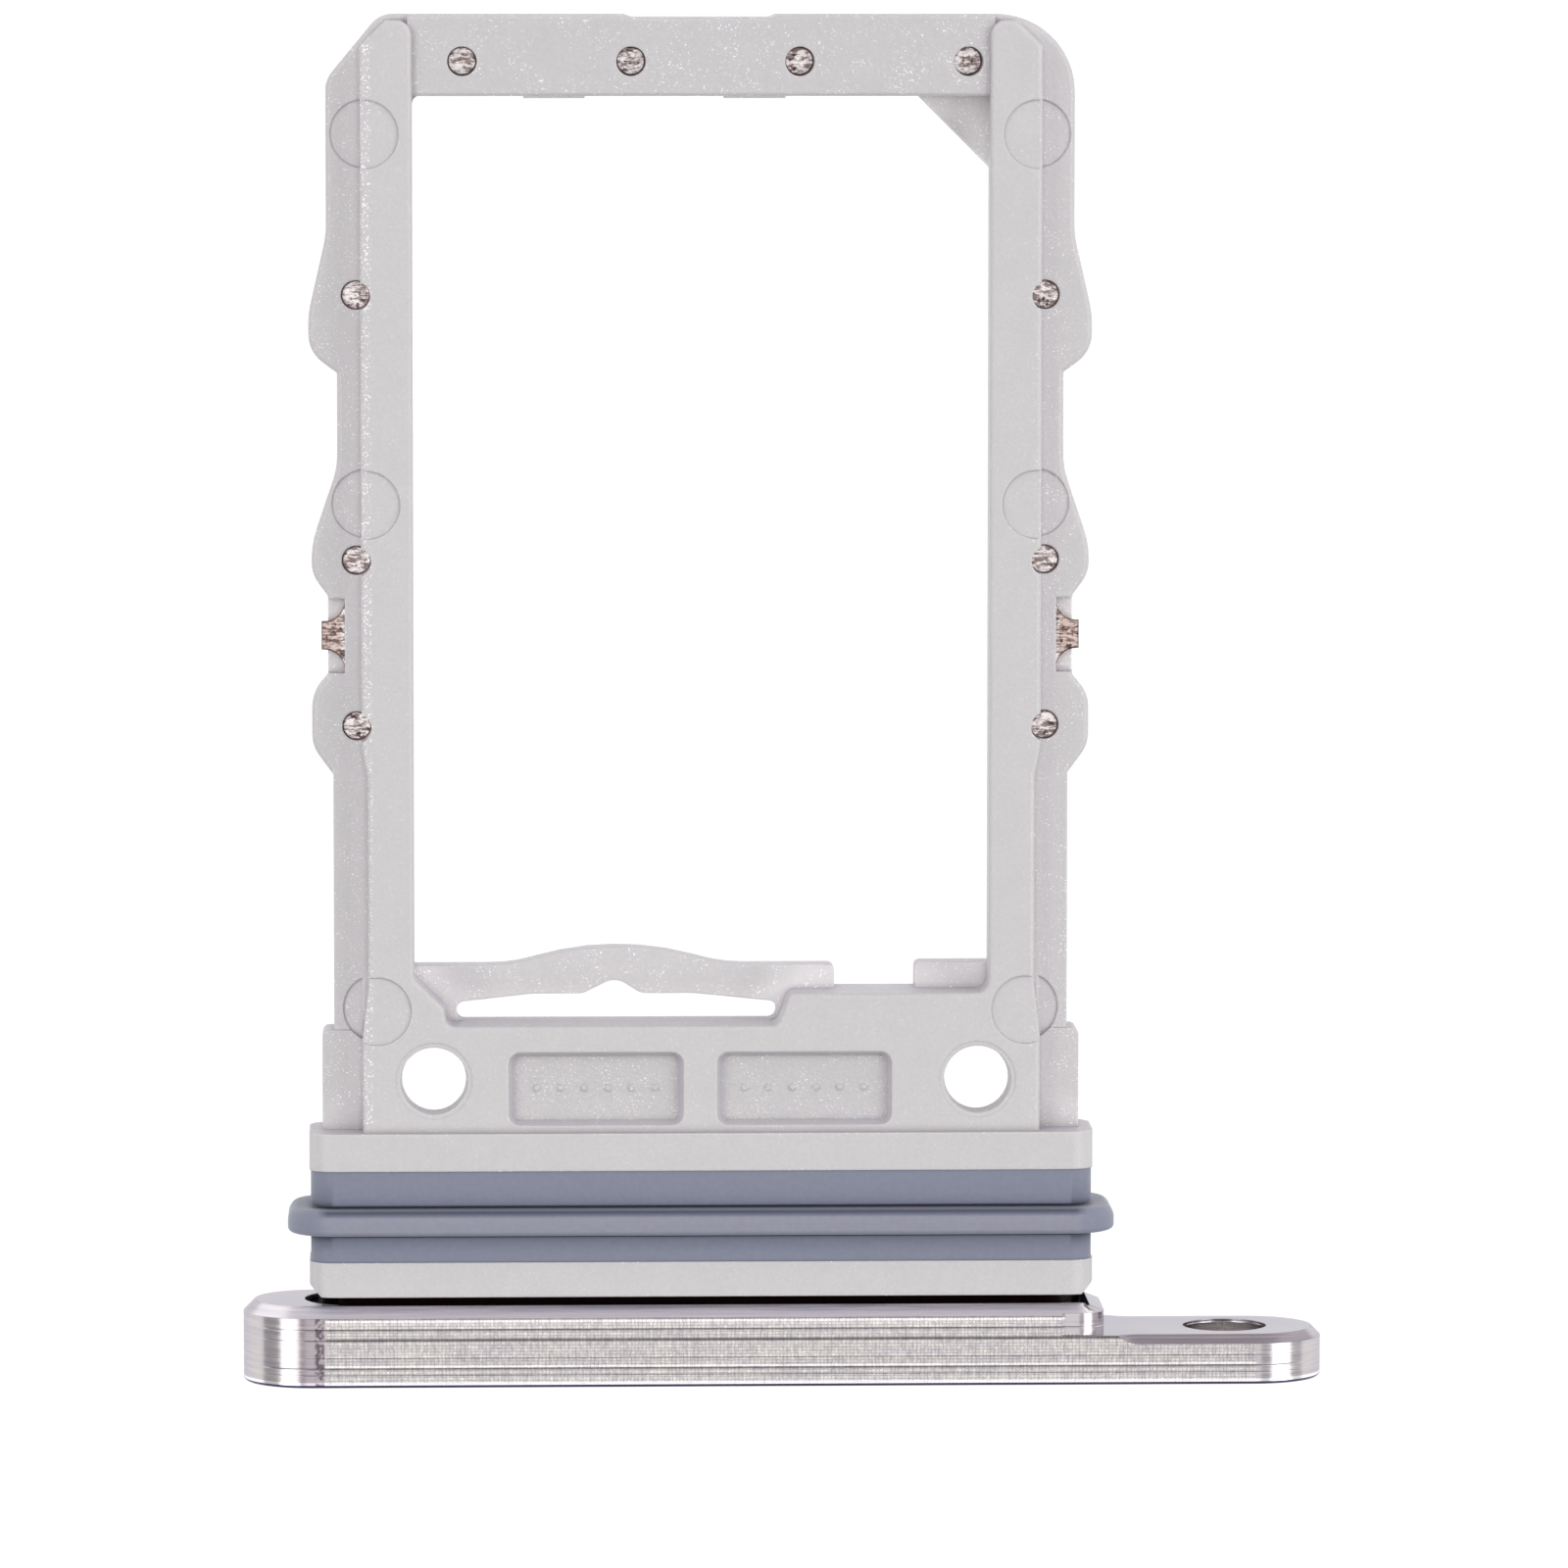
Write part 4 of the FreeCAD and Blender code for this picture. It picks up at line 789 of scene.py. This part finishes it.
# %% [markdown]
# ## Silicone
#
# The sealing ring is matte blue-grey silicone, whose only texture is the faint bloom of
# its mould. Two dark lines of painted shade, on the bead's far flank and at its near foot,
# and a lighter band of painted light on the bead run along it. An Ambient Occlusion node
# paints shade into its creases. Each line and band has its place from the outer face, its
# softness and its tint in one row of a table.

# %% Silicone
BLOOM, BLOOM_DEPTH = 12, 0.004
BLUE_GREY, PALE_BLUE_GREY = (0.190, 0.205, 0.268, 1), (0.230, 0.247, 0.312, 1)
# Painted shade in the silicone's creases, by the Ambient Occlusion node.
SEAL_REACH, SEAL_FADE, SEAL_CREASE_SHADE = 0.12, (0.30, 0.90), (0.40, 0.42, 0.50, 1)
# Painted shade and painted light: the first row is a dark line on the bead's far flank, the second a
# lighter band on the bead, the third a dark line at its near foot.
SEAL_SHADE_AND_LIGHT_BANDS = (
    (2.485, 2.555, 0.035, (0.22, 0.24, 0.32, 1)), (2.225, 2.46, 0.02, (1.22, 1.16, 1.10, 1)),
    (2.135, 2.175, 0.008, (0.34, 0.38, 0.50, 1)))
BANDS_END, BANDS_RUN = 5.35, 0.15
SEAL_ROUGHNESS, SEAL_SHEEN = 0.6, 0.25


def silicone():
    paint, shader, add, link = finish("silicone")
    bloom = grain(add, link, BLOOM, detail=3.0)
    colour = mixed(add, link, bloom, BLUE_GREY, PALE_BLUE_GREY)
    shaded = spread(add, link, creases(add, link, SEAL_REACH), *SEAL_FADE, 0, 1)
    colour = tinted(add, link, colour, shaded, SEAL_CREASE_SHADE, PLAIN)
    spot = axes_of(add, link)
    outward = size_of(add, link, spot["X"], centre_line)
    on_top = spread(add, link, outward, BANDS_END * MM, (BANDS_END + BANDS_RUN) * MM, 1, 0)
    # Painted shade and painted light along the bead.
    for low, high, soft, tint in SEAL_SHADE_AND_LIGHT_BANDS:
        band = between(add, link, spot["Y"], outer_face + low * MM, outer_face + high * MM, soft)
        colour = tinted(add, link, colour, times(add, link, band, on_top), PLAIN, tint)
    link(colour, shader.inputs["Base Color"])
    link(raised(add, link, bloom, BLOOM_DEPTH), shader.inputs["Normal"])
    shader.inputs["Roughness"].default_value = SEAL_ROUGHNESS
    shader.inputs["Sheen Weight"].default_value = SEAL_SHEEN
    return paint


# %% [markdown]
# ## Finished copies
#
# The solids arrive as loose triangles. A finished copy joins them and dissolves the lines
# inside flat faces. Round faces are shaded smoothly and every true edge stays sharp. Long
# thin faces shade badly when a vertex takes the mean of its neighbours, so a Weighted
# Normal modifier lets the largest face decide.

# %% Finished copies
MERGE = 0.0002 * MM
FLAT = math.radians(0.5)
SHARP = math.radians(28)
LARGEST_FACE = 100


def clean_copy(node):
    shape = bmesh.new()
    shape.from_mesh(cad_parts[node].data)
    bmesh.ops.remove_doubles(shape, verts=shape.verts, dist=MERGE)
    bmesh.ops.dissolve_limit(shape, angle_limit=FLAT, verts=shape.verts, edges=shape.edges)
    for face in shape.faces:
        face.material_index = 0
    return shape


def smooth_but_sharp(shape):
    for face in shape.faces:
        face.smooth = True
    for edge in shape.edges:
        edge.smooth = edge.is_manifold and edge.calc_face_angle() < SHARP


def as_piece(shape, name, paints):
    """The bmesh as an object at the origin, with its finishes."""
    mesh = bpy.data.meshes.new(name)
    shape.to_mesh(mesh)
    if "custom_normal" in mesh.attributes:
        mesh.attributes.remove(mesh.attributes["custom_normal"])
    loose = sum(1 for edge in shape.edges if not edge.is_manifold)
    print(name, len(mesh.polygons), "faces,", loose, "open edges")
    shape.free()
    mesh.materials.clear()
    for paint in paints:
        mesh.materials.append(paint)
    piece = bpy.data.objects.new(name, mesh)
    bpy.context.scene.collection.objects.link(piece)
    return piece


def stands_for(piece, node):
    even = piece.modifiers.new("even shading", "WEIGHTED_NORMAL")
    even.keep_sharp = True
    even.weight = LARGEST_FACE
    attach(piece, "root")
    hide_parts(node)


def in_mm(place):
    """A place in metres as millimetres from the tray's own lines."""
    return (place - at(0, 0, 0)) / MM


# %% [markdown]
# ## Marks of the mould
#
# Six ejector pins pushed the frame out of its mould, and each left a shallow round mark
# that runs over the ridge's edge onto the flange. The two locating holes taper, open out
# below, and have a faint ring around them. Marks like these are cut with a Boolean: all the
# cutters of one kind are made in one mesh, and the modifier is applied at once. The recesses
# in the plate hold a row of plain pips each, where a mould has its marks.

# %% Marks of the mould
MARK_RADIUS, MARK_DEPTH = 0.49, 0.025
EJECTOR_MARKS = ((4.78, 17.86), (4.77, 12.60), (4.63, 5.365))
RIDGE_TOP, FLANGE_TOP, RIDGE_WALL, UNDERSIDE = 0.62, 0.14, 4.845, -0.62
HOLES = ((-3.825, 4.365), (3.945, 4.365))
RING_RADIUS, RING_DEPTH = 0.55, 0.008
HOLE_MOUTH, HOLE_WAIST, HOLE_FLARE, FLARE_FROM = 0.485, 0.461, 0.60, 0.22
PIP_RADIUS, PIP_TOP, PIP_HEIGHT, PIP_STEP, PIP_COUNT = 0.07, 0.035, 0.03, 0.34, 6
RECESS_FLOOR, RECESS_MIDDLES = 0.46, ((-1.51, 4.245), (1.47, 4.245))
OVER, ABOVE_RIDGE, ABOVE_FLANGE = 0.02, 0.05, 0.15
HOLE_SIDES, PIP_SIDES = 64, 24


def add_plug(shape, x, y, low, high, radius, top_radius=None, segments=48):
    """A round or tapered plug from one level to another, in the tray's millimetres."""
    place = Matrix.Translation(at(x, y, (low + high) / 2))
    wide = radius if top_radius is None else top_radius
    bmesh.ops.create_cone(
        shape, cap_ends=True, segments=segments, radius1=radius * MM, radius2=wide * MM,
        depth=(high - low) * MM, matrix=place)


def add_half_plug(shape, side_of, x, y):
    """The part of an ejector mark that lies on the flange, outside the ridge's wall."""
    half = bmesh.new()
    add_plug(half, side_of * x, y, FLANGE_TOP - MARK_DEPTH, FLANGE_TOP + ABOVE_FLANGE, MARK_RADIUS)
    cut = bmesh.ops.bisect_plane(
        half, geom=half.verts[:] + half.edges[:] + half.faces[:], dist=1e-9,
        plane_co=at(side_of * RIDGE_WALL, y, 0), plane_no=(-side_of, 0, 0), clear_outer=True)
    rim = [part for part in cut["geom_cut"] if isinstance(part, bmesh.types.BMEdge)]
    bmesh.ops.contextual_create(half, geom=rim)
    bmesh.ops.recalc_face_normals(half, faces=half.faces)
    mesh = bpy.data.meshes.new("half")
    half.to_mesh(mesh)
    half.free()
    shape.from_mesh(mesh)


def mark_cutters():
    shape = bmesh.new()
    for side_of in (-1, 1):
        for x, y in EJECTOR_MARKS:
            add_plug(shape, side_of * x, y, RIDGE_TOP - MARK_DEPTH, RIDGE_TOP + ABOVE_RIDGE, MARK_RADIUS)
            add_half_plug(shape, side_of, x, y)
    for x, y in HOLES:
        low, high = RIDGE_TOP - RING_DEPTH, RIDGE_TOP + ABOVE_RIDGE
        add_plug(shape, x, y, low, high, RING_RADIUS, segments=HOLE_SIDES)
    return shape


def hole_cutters():
    """The holes' taper, wider at the top."""
    shape = bmesh.new()
    for x, y in HOLES:
        add_plug(shape, x, y, FLARE_FROM, RIDGE_TOP + OVER, HOLE_WAIST, HOLE_MOUTH, HOLE_SIDES)
    return shape


def flare_cutters():
    """The lead-in for a fixture's pin, under each hole."""
    shape = bmesh.new()
    for x, y in HOLES:
        add_plug(shape, x, y, UNDERSIDE - OVER, FLARE_FROM, HOLE_FLARE, HOLE_WAIST, HOLE_SIDES)
    return shape


def pips():
    shape = bmesh.new()
    low, high = RECESS_FLOOR - OVER, RECESS_FLOOR + PIP_HEIGHT
    for x, y in RECESS_MIDDLES:
        for number in range(PIP_COUNT):
            along = (number - (PIP_COUNT - 1) / 2) * PIP_STEP
            add_plug(shape, x + along, y, low, high, PIP_RADIUS, PIP_TOP, PIP_SIDES)
    return shape


def carve(piece, shape, operation):
    """Cut the shape out of the piece, or join it on, and keep the result as the mesh."""
    tool = as_piece(shape, "tool", [])
    boolean = piece.modifiers.new("marks", "BOOLEAN")
    boolean.operation = operation
    boolean.solver = "EXACT"
    boolean.object = tool
    depsgraph = bpy.context.evaluated_depsgraph_get()
    carved = bpy.data.meshes.new_from_object(piece.evaluated_get(depsgraph))
    piece.modifiers.remove(boolean)
    piece.data = carved
    bpy.data.objects.remove(tool)


# %% [markdown]
# ## The moulded frame
#
# The frame is one moulding, so it is one piece here too. Its tongue, inside the bar's
# socket, is painted dark as painted shade, and the recess floors have the coarsest grain,
# so those faces get finishes of their own. A face is picked by where its corners lie,
# because a Boolean numbers the faces anew.

# %% The moulded frame
COLLAR_START, PLATE_EDGE, NEAR = 1.27, 5.1, 0.002
RECESS_REACH, RECESS_LOW, RECESS_HIGH, LOOKS_UP = 3, 0.45, 0.52, 0.3
smooth_moulding = moulded_plastic("moulded_plastic", 0.25, 1.0, 0.007)
coarse_moulding = moulded_plastic("coarse_moulding", 1.6, 1.6, 0.014)
moulded_frame = as_piece(
    clean_copy("tray_frame"), "moulded_frame", [smooth_moulding, socket_shade("socket_shade"), coarse_moulding])
carve(moulded_frame, mark_cutters(), "DIFFERENCE")
carve(moulded_frame, hole_cutters(), "DIFFERENCE")
carve(moulded_frame, flare_cutters(), "DIFFERENCE")
carve(moulded_frame, pips(), "UNION")
shape = bmesh.new()
shape.from_mesh(moulded_frame.data)
counts = [0, 0, 0]
for face in shape.faces:
    face.material_index = 0
    along = [in_mm(corner.co).y for corner in face.verts]
    middle = in_mm(face.calc_center_median())
    on_plate = abs(middle.x) < RECESS_REACH and COLLAR_START < middle.y < PLATE_EDGE
    # Painted shade: the tongue inside the bar's socket gets the dark brown.
    if max(along) < COLLAR_START + NEAR and min(along) < COLLAR_START - NEAR:
        face.material_index = 1
    elif on_plate and RECESS_LOW < middle.z < RECESS_HIGH and face.normal.z > LOOKS_UP:
        face.material_index = 2
    counts[face.material_index] += 1
smooth_but_sharp(shape)
shape.to_mesh(moulded_frame.data)
shape.free()
print("faces that are smooth, shade_painted and coarse:", counts)
stands_for(moulded_frame, "tray_frame")

# %% [markdown]
# ## The bar
#
# The bar is the solid's own mesh. Its socket, where the frame's tongue sits, lies in shade,
# so the socket's long walls and floor are painted dark as painted shade, and its end walls
# stay bare steel.
# The socket ends a little earlier on the right than on the left, so the points of that end
# are moved in. The hole for the eject pin is reamed, and its wall is painted brighter than
# the milled faces as painted light.

# %% The bar
SOCKET_REACH, SOCKET_HALF, BLOCK_FACE = 5.70, 0.81, 1.16
PIN_HOLE, PIN_HOLE_RADIUS = 7.55, 0.6
SOCKET_END, MOVED_DEPTH, END_MOVED_IN = 5.45, 0.75, 0.13
TOUCH, END_WALL = 0.01, 0.6
shape = clean_copy("cap")
moved = 0
for corner in shape.verts:
    spot = in_mm(corner.co)
    at_end = SOCKET_END < spot.x < SOCKET_REACH and abs(spot.z) < SOCKET_HALF
    if at_end and BLOCK_FACE - MOVED_DEPTH < spot.y < BLOCK_FACE + TOUCH:
        corner.co.x -= END_MOVED_IN * MM
        moved += 1
print("points of the socket's right end moved in:", moved)
counts = [0, 0, 0]
for face in shape.faces:
    corners = [in_mm(corner.co) for corner in face.verts]
    inside = all(abs(c.x) < SOCKET_REACH and abs(c.z) < SOCKET_HALF for c in corners)
    in_hole = all(math.hypot(c.x - PIN_HOLE, c.z) < PIN_HOLE_RADIUS + TOUCH for c in corners)
    # Painted shade: the socket's long walls and floor get the dark brown.
    if inside and min(c.y for c in corners) < BLOCK_FACE - TOUCH and abs(face.normal.x) < END_WALL:
        face.material_index = 1
    elif in_hole:
        face.material_index = 2
    counts[face.material_index] += 1
smooth_but_sharp(shape)
print("faces that are milled, shade_painted and reamed:", counts)
face_bar = as_piece(shape, "face_bar", [milled_steel(), socket_shade("bar_socket_shade"), reamed_steel()])
stands_for(face_bar, "cap")

# %% [markdown]
# ## The steel sheet
#
# Only the sheet's ten round windows and its two tabs show. A mould pin stood in each
# window. A thin dark brown ring of painted shade stands round each window's foot, a small
# wedge spun about the window's axis. The two locating holes pass through the sheet with the
# same taper as in the plastic, and the plastic lines them, so their walls get the frame's
# finish.

# %% The steel sheet
SHEET_TOP = 0.06
# The ring of painted shade round each window's foot.
SHADE_RING_INSIDE, SHADE_RING_OUTSIDE, SHADE_RING_FOOT, SHADE_RING_HEIGHT, SHADE_RING_STEPS = 0.188, 0.209, -0.002, 0.02, 36
RAIL_WINDOWS, BAR_WINDOWS = (9.42, 11.79, 15.57), (-3.39, -0.995, 1.40, 3.795)
RAIL_LINE, BAR_LINE = 4.91, 18.89
STANDS_UP = 0.5


# A ring of painted shade round a window's foot, a wedge spun about its axis.
def add_window_shade(shape, x, y):
    wedge = [(SHADE_RING_INSIDE, SHADE_RING_FOOT), (SHADE_RING_OUTSIDE, SHADE_RING_FOOT), (SHADE_RING_OUTSIDE, SHADE_RING_HEIGHT)]
    corners = [shape.verts.new(at(x + out, y, SHEET_TOP + up)) for out, up in wedge]
    edges = [shape.edges.new((corners[i], corners[(i + 1) % 3])) for i in range(3)]
    before = set(shape.faces)
    bmesh.ops.spin(
        shape, geom=corners + edges, cent=at(x, y, 0), axis=(0, 0, 1), angle=2 * math.pi,
        steps=SHADE_RING_STEPS, use_merge=True)
    made = [face for face in shape.faces if face not in before]
    for face in made:
        face.material_index = 2
    bmesh.ops.recalc_face_normals(shape, faces=made)


steel_sheet = as_piece(
    clean_copy("metal_insert"), "steel_sheet",
    [rolled_sheet(), smooth_moulding, painted_shade_film("window_shade_ring", WINDOW_SHADE_DARK, WINDOW_SHADE_LIGHT, WINDOW_SHADE_GLOSS)])
carve(steel_sheet, flare_cutters(), "DIFFERENCE")
shape = bmesh.new()
shape.from_mesh(steel_sheet.data)
lined = 0
for face in shape.faces:
    middle = in_mm(face.calc_center_median())
    near_hole = any(math.hypot(middle.x - x, middle.y - y) < HOLE_FLARE for x, y in HOLES)
    face.material_index = 1 if near_hole and abs(face.normal.z) < STANDS_UP else 0
    lined += face.material_index
for y in RAIL_WINDOWS:
    for side_of in (-1, 1):
        add_window_shade(shape, side_of * RAIL_LINE, y)
for x in BAR_WINDOWS:
    add_window_shade(shape, x, BAR_LINE)
smooth_but_sharp(shape)
shape.to_mesh(steel_sheet.data)
shape.free()
print("lined faces in the sheet's holes", lined, "all faces", len(steel_sheet.data.polygons))
stands_for(steel_sheet, "metal_insert")

# %% [markdown]
# ## The sealing ring
#
# The ring's bead leans towards the bar, and the mould left a narrow groove at each side of
# its foot. The solid's own mesh is cut across beside the bead, and the cut's points are
# pushed inward. The ring's section is a rounded box, so inward is towards the nearest point
# of a smaller box inside it.

# %% The sealing ring
BEAD_FROM, BEAD_TO = 2.18, 2.54
GROOVE_WIDTH, GROOVE_DEPTH, GROOVE_OFF, GROOVE_REACH = 0.05, 0.08, 0.01, 0.017
CORE_HALF, CORE_THICK, BAND_RADIUS = 5.26, 0.41, 0.33
BEAD_LEAN = 1.5


def held_in(value, reach):
    return max(-reach, min(reach, value))


shape = clean_copy("seal_ring")
for foot, way in ((BEAD_FROM, -1), (BEAD_TO, 1)):
    for part in (0.5, 1.0):
        bmesh.ops.bisect_plane(
            shape, geom=shape.verts[:] + shape.edges[:] + shape.faces[:], dist=1e-9,
            plane_co=at(0, foot + way * part * GROOVE_WIDTH, 0), plane_no=(0, 1, 0))
pushed = leaned = 0
for corner in shape.verts:
    spot = in_mm(corner.co)
    core = Vector((held_in(spot.x, CORE_HALF), 0, held_in(spot.z, CORE_THICK)))
    out = Vector((spot.x, 0, spot.z)) - core
    off_foot = min(abs(spot.y - BEAD_FROM + GROOVE_OFF), abs(spot.y - BEAD_TO - GROOVE_OFF))
    if off_foot < GROOVE_REACH and abs(out.length - BAND_RADIUS) < TOUCH:
        corner.co -= out.normalized() * GROOVE_DEPTH * MM
        pushed += 1
    elif out.length > BAND_RADIUS + TOUCH:
        share = (spot.y - BEAD_FROM) / (BEAD_TO - BEAD_FROM)
        corner.co.y = outer_face + (BEAD_FROM + max(share, 0.0) ** BEAD_LEAN * (BEAD_TO - BEAD_FROM)) * MM
        leaned += 1
smooth_but_sharp(shape)
print("points pushed into the grooves", pushed, "and leaned", leaned)
stands_for(as_piece(shape, "sealing_ring", [silicone()]), "seal_ring")
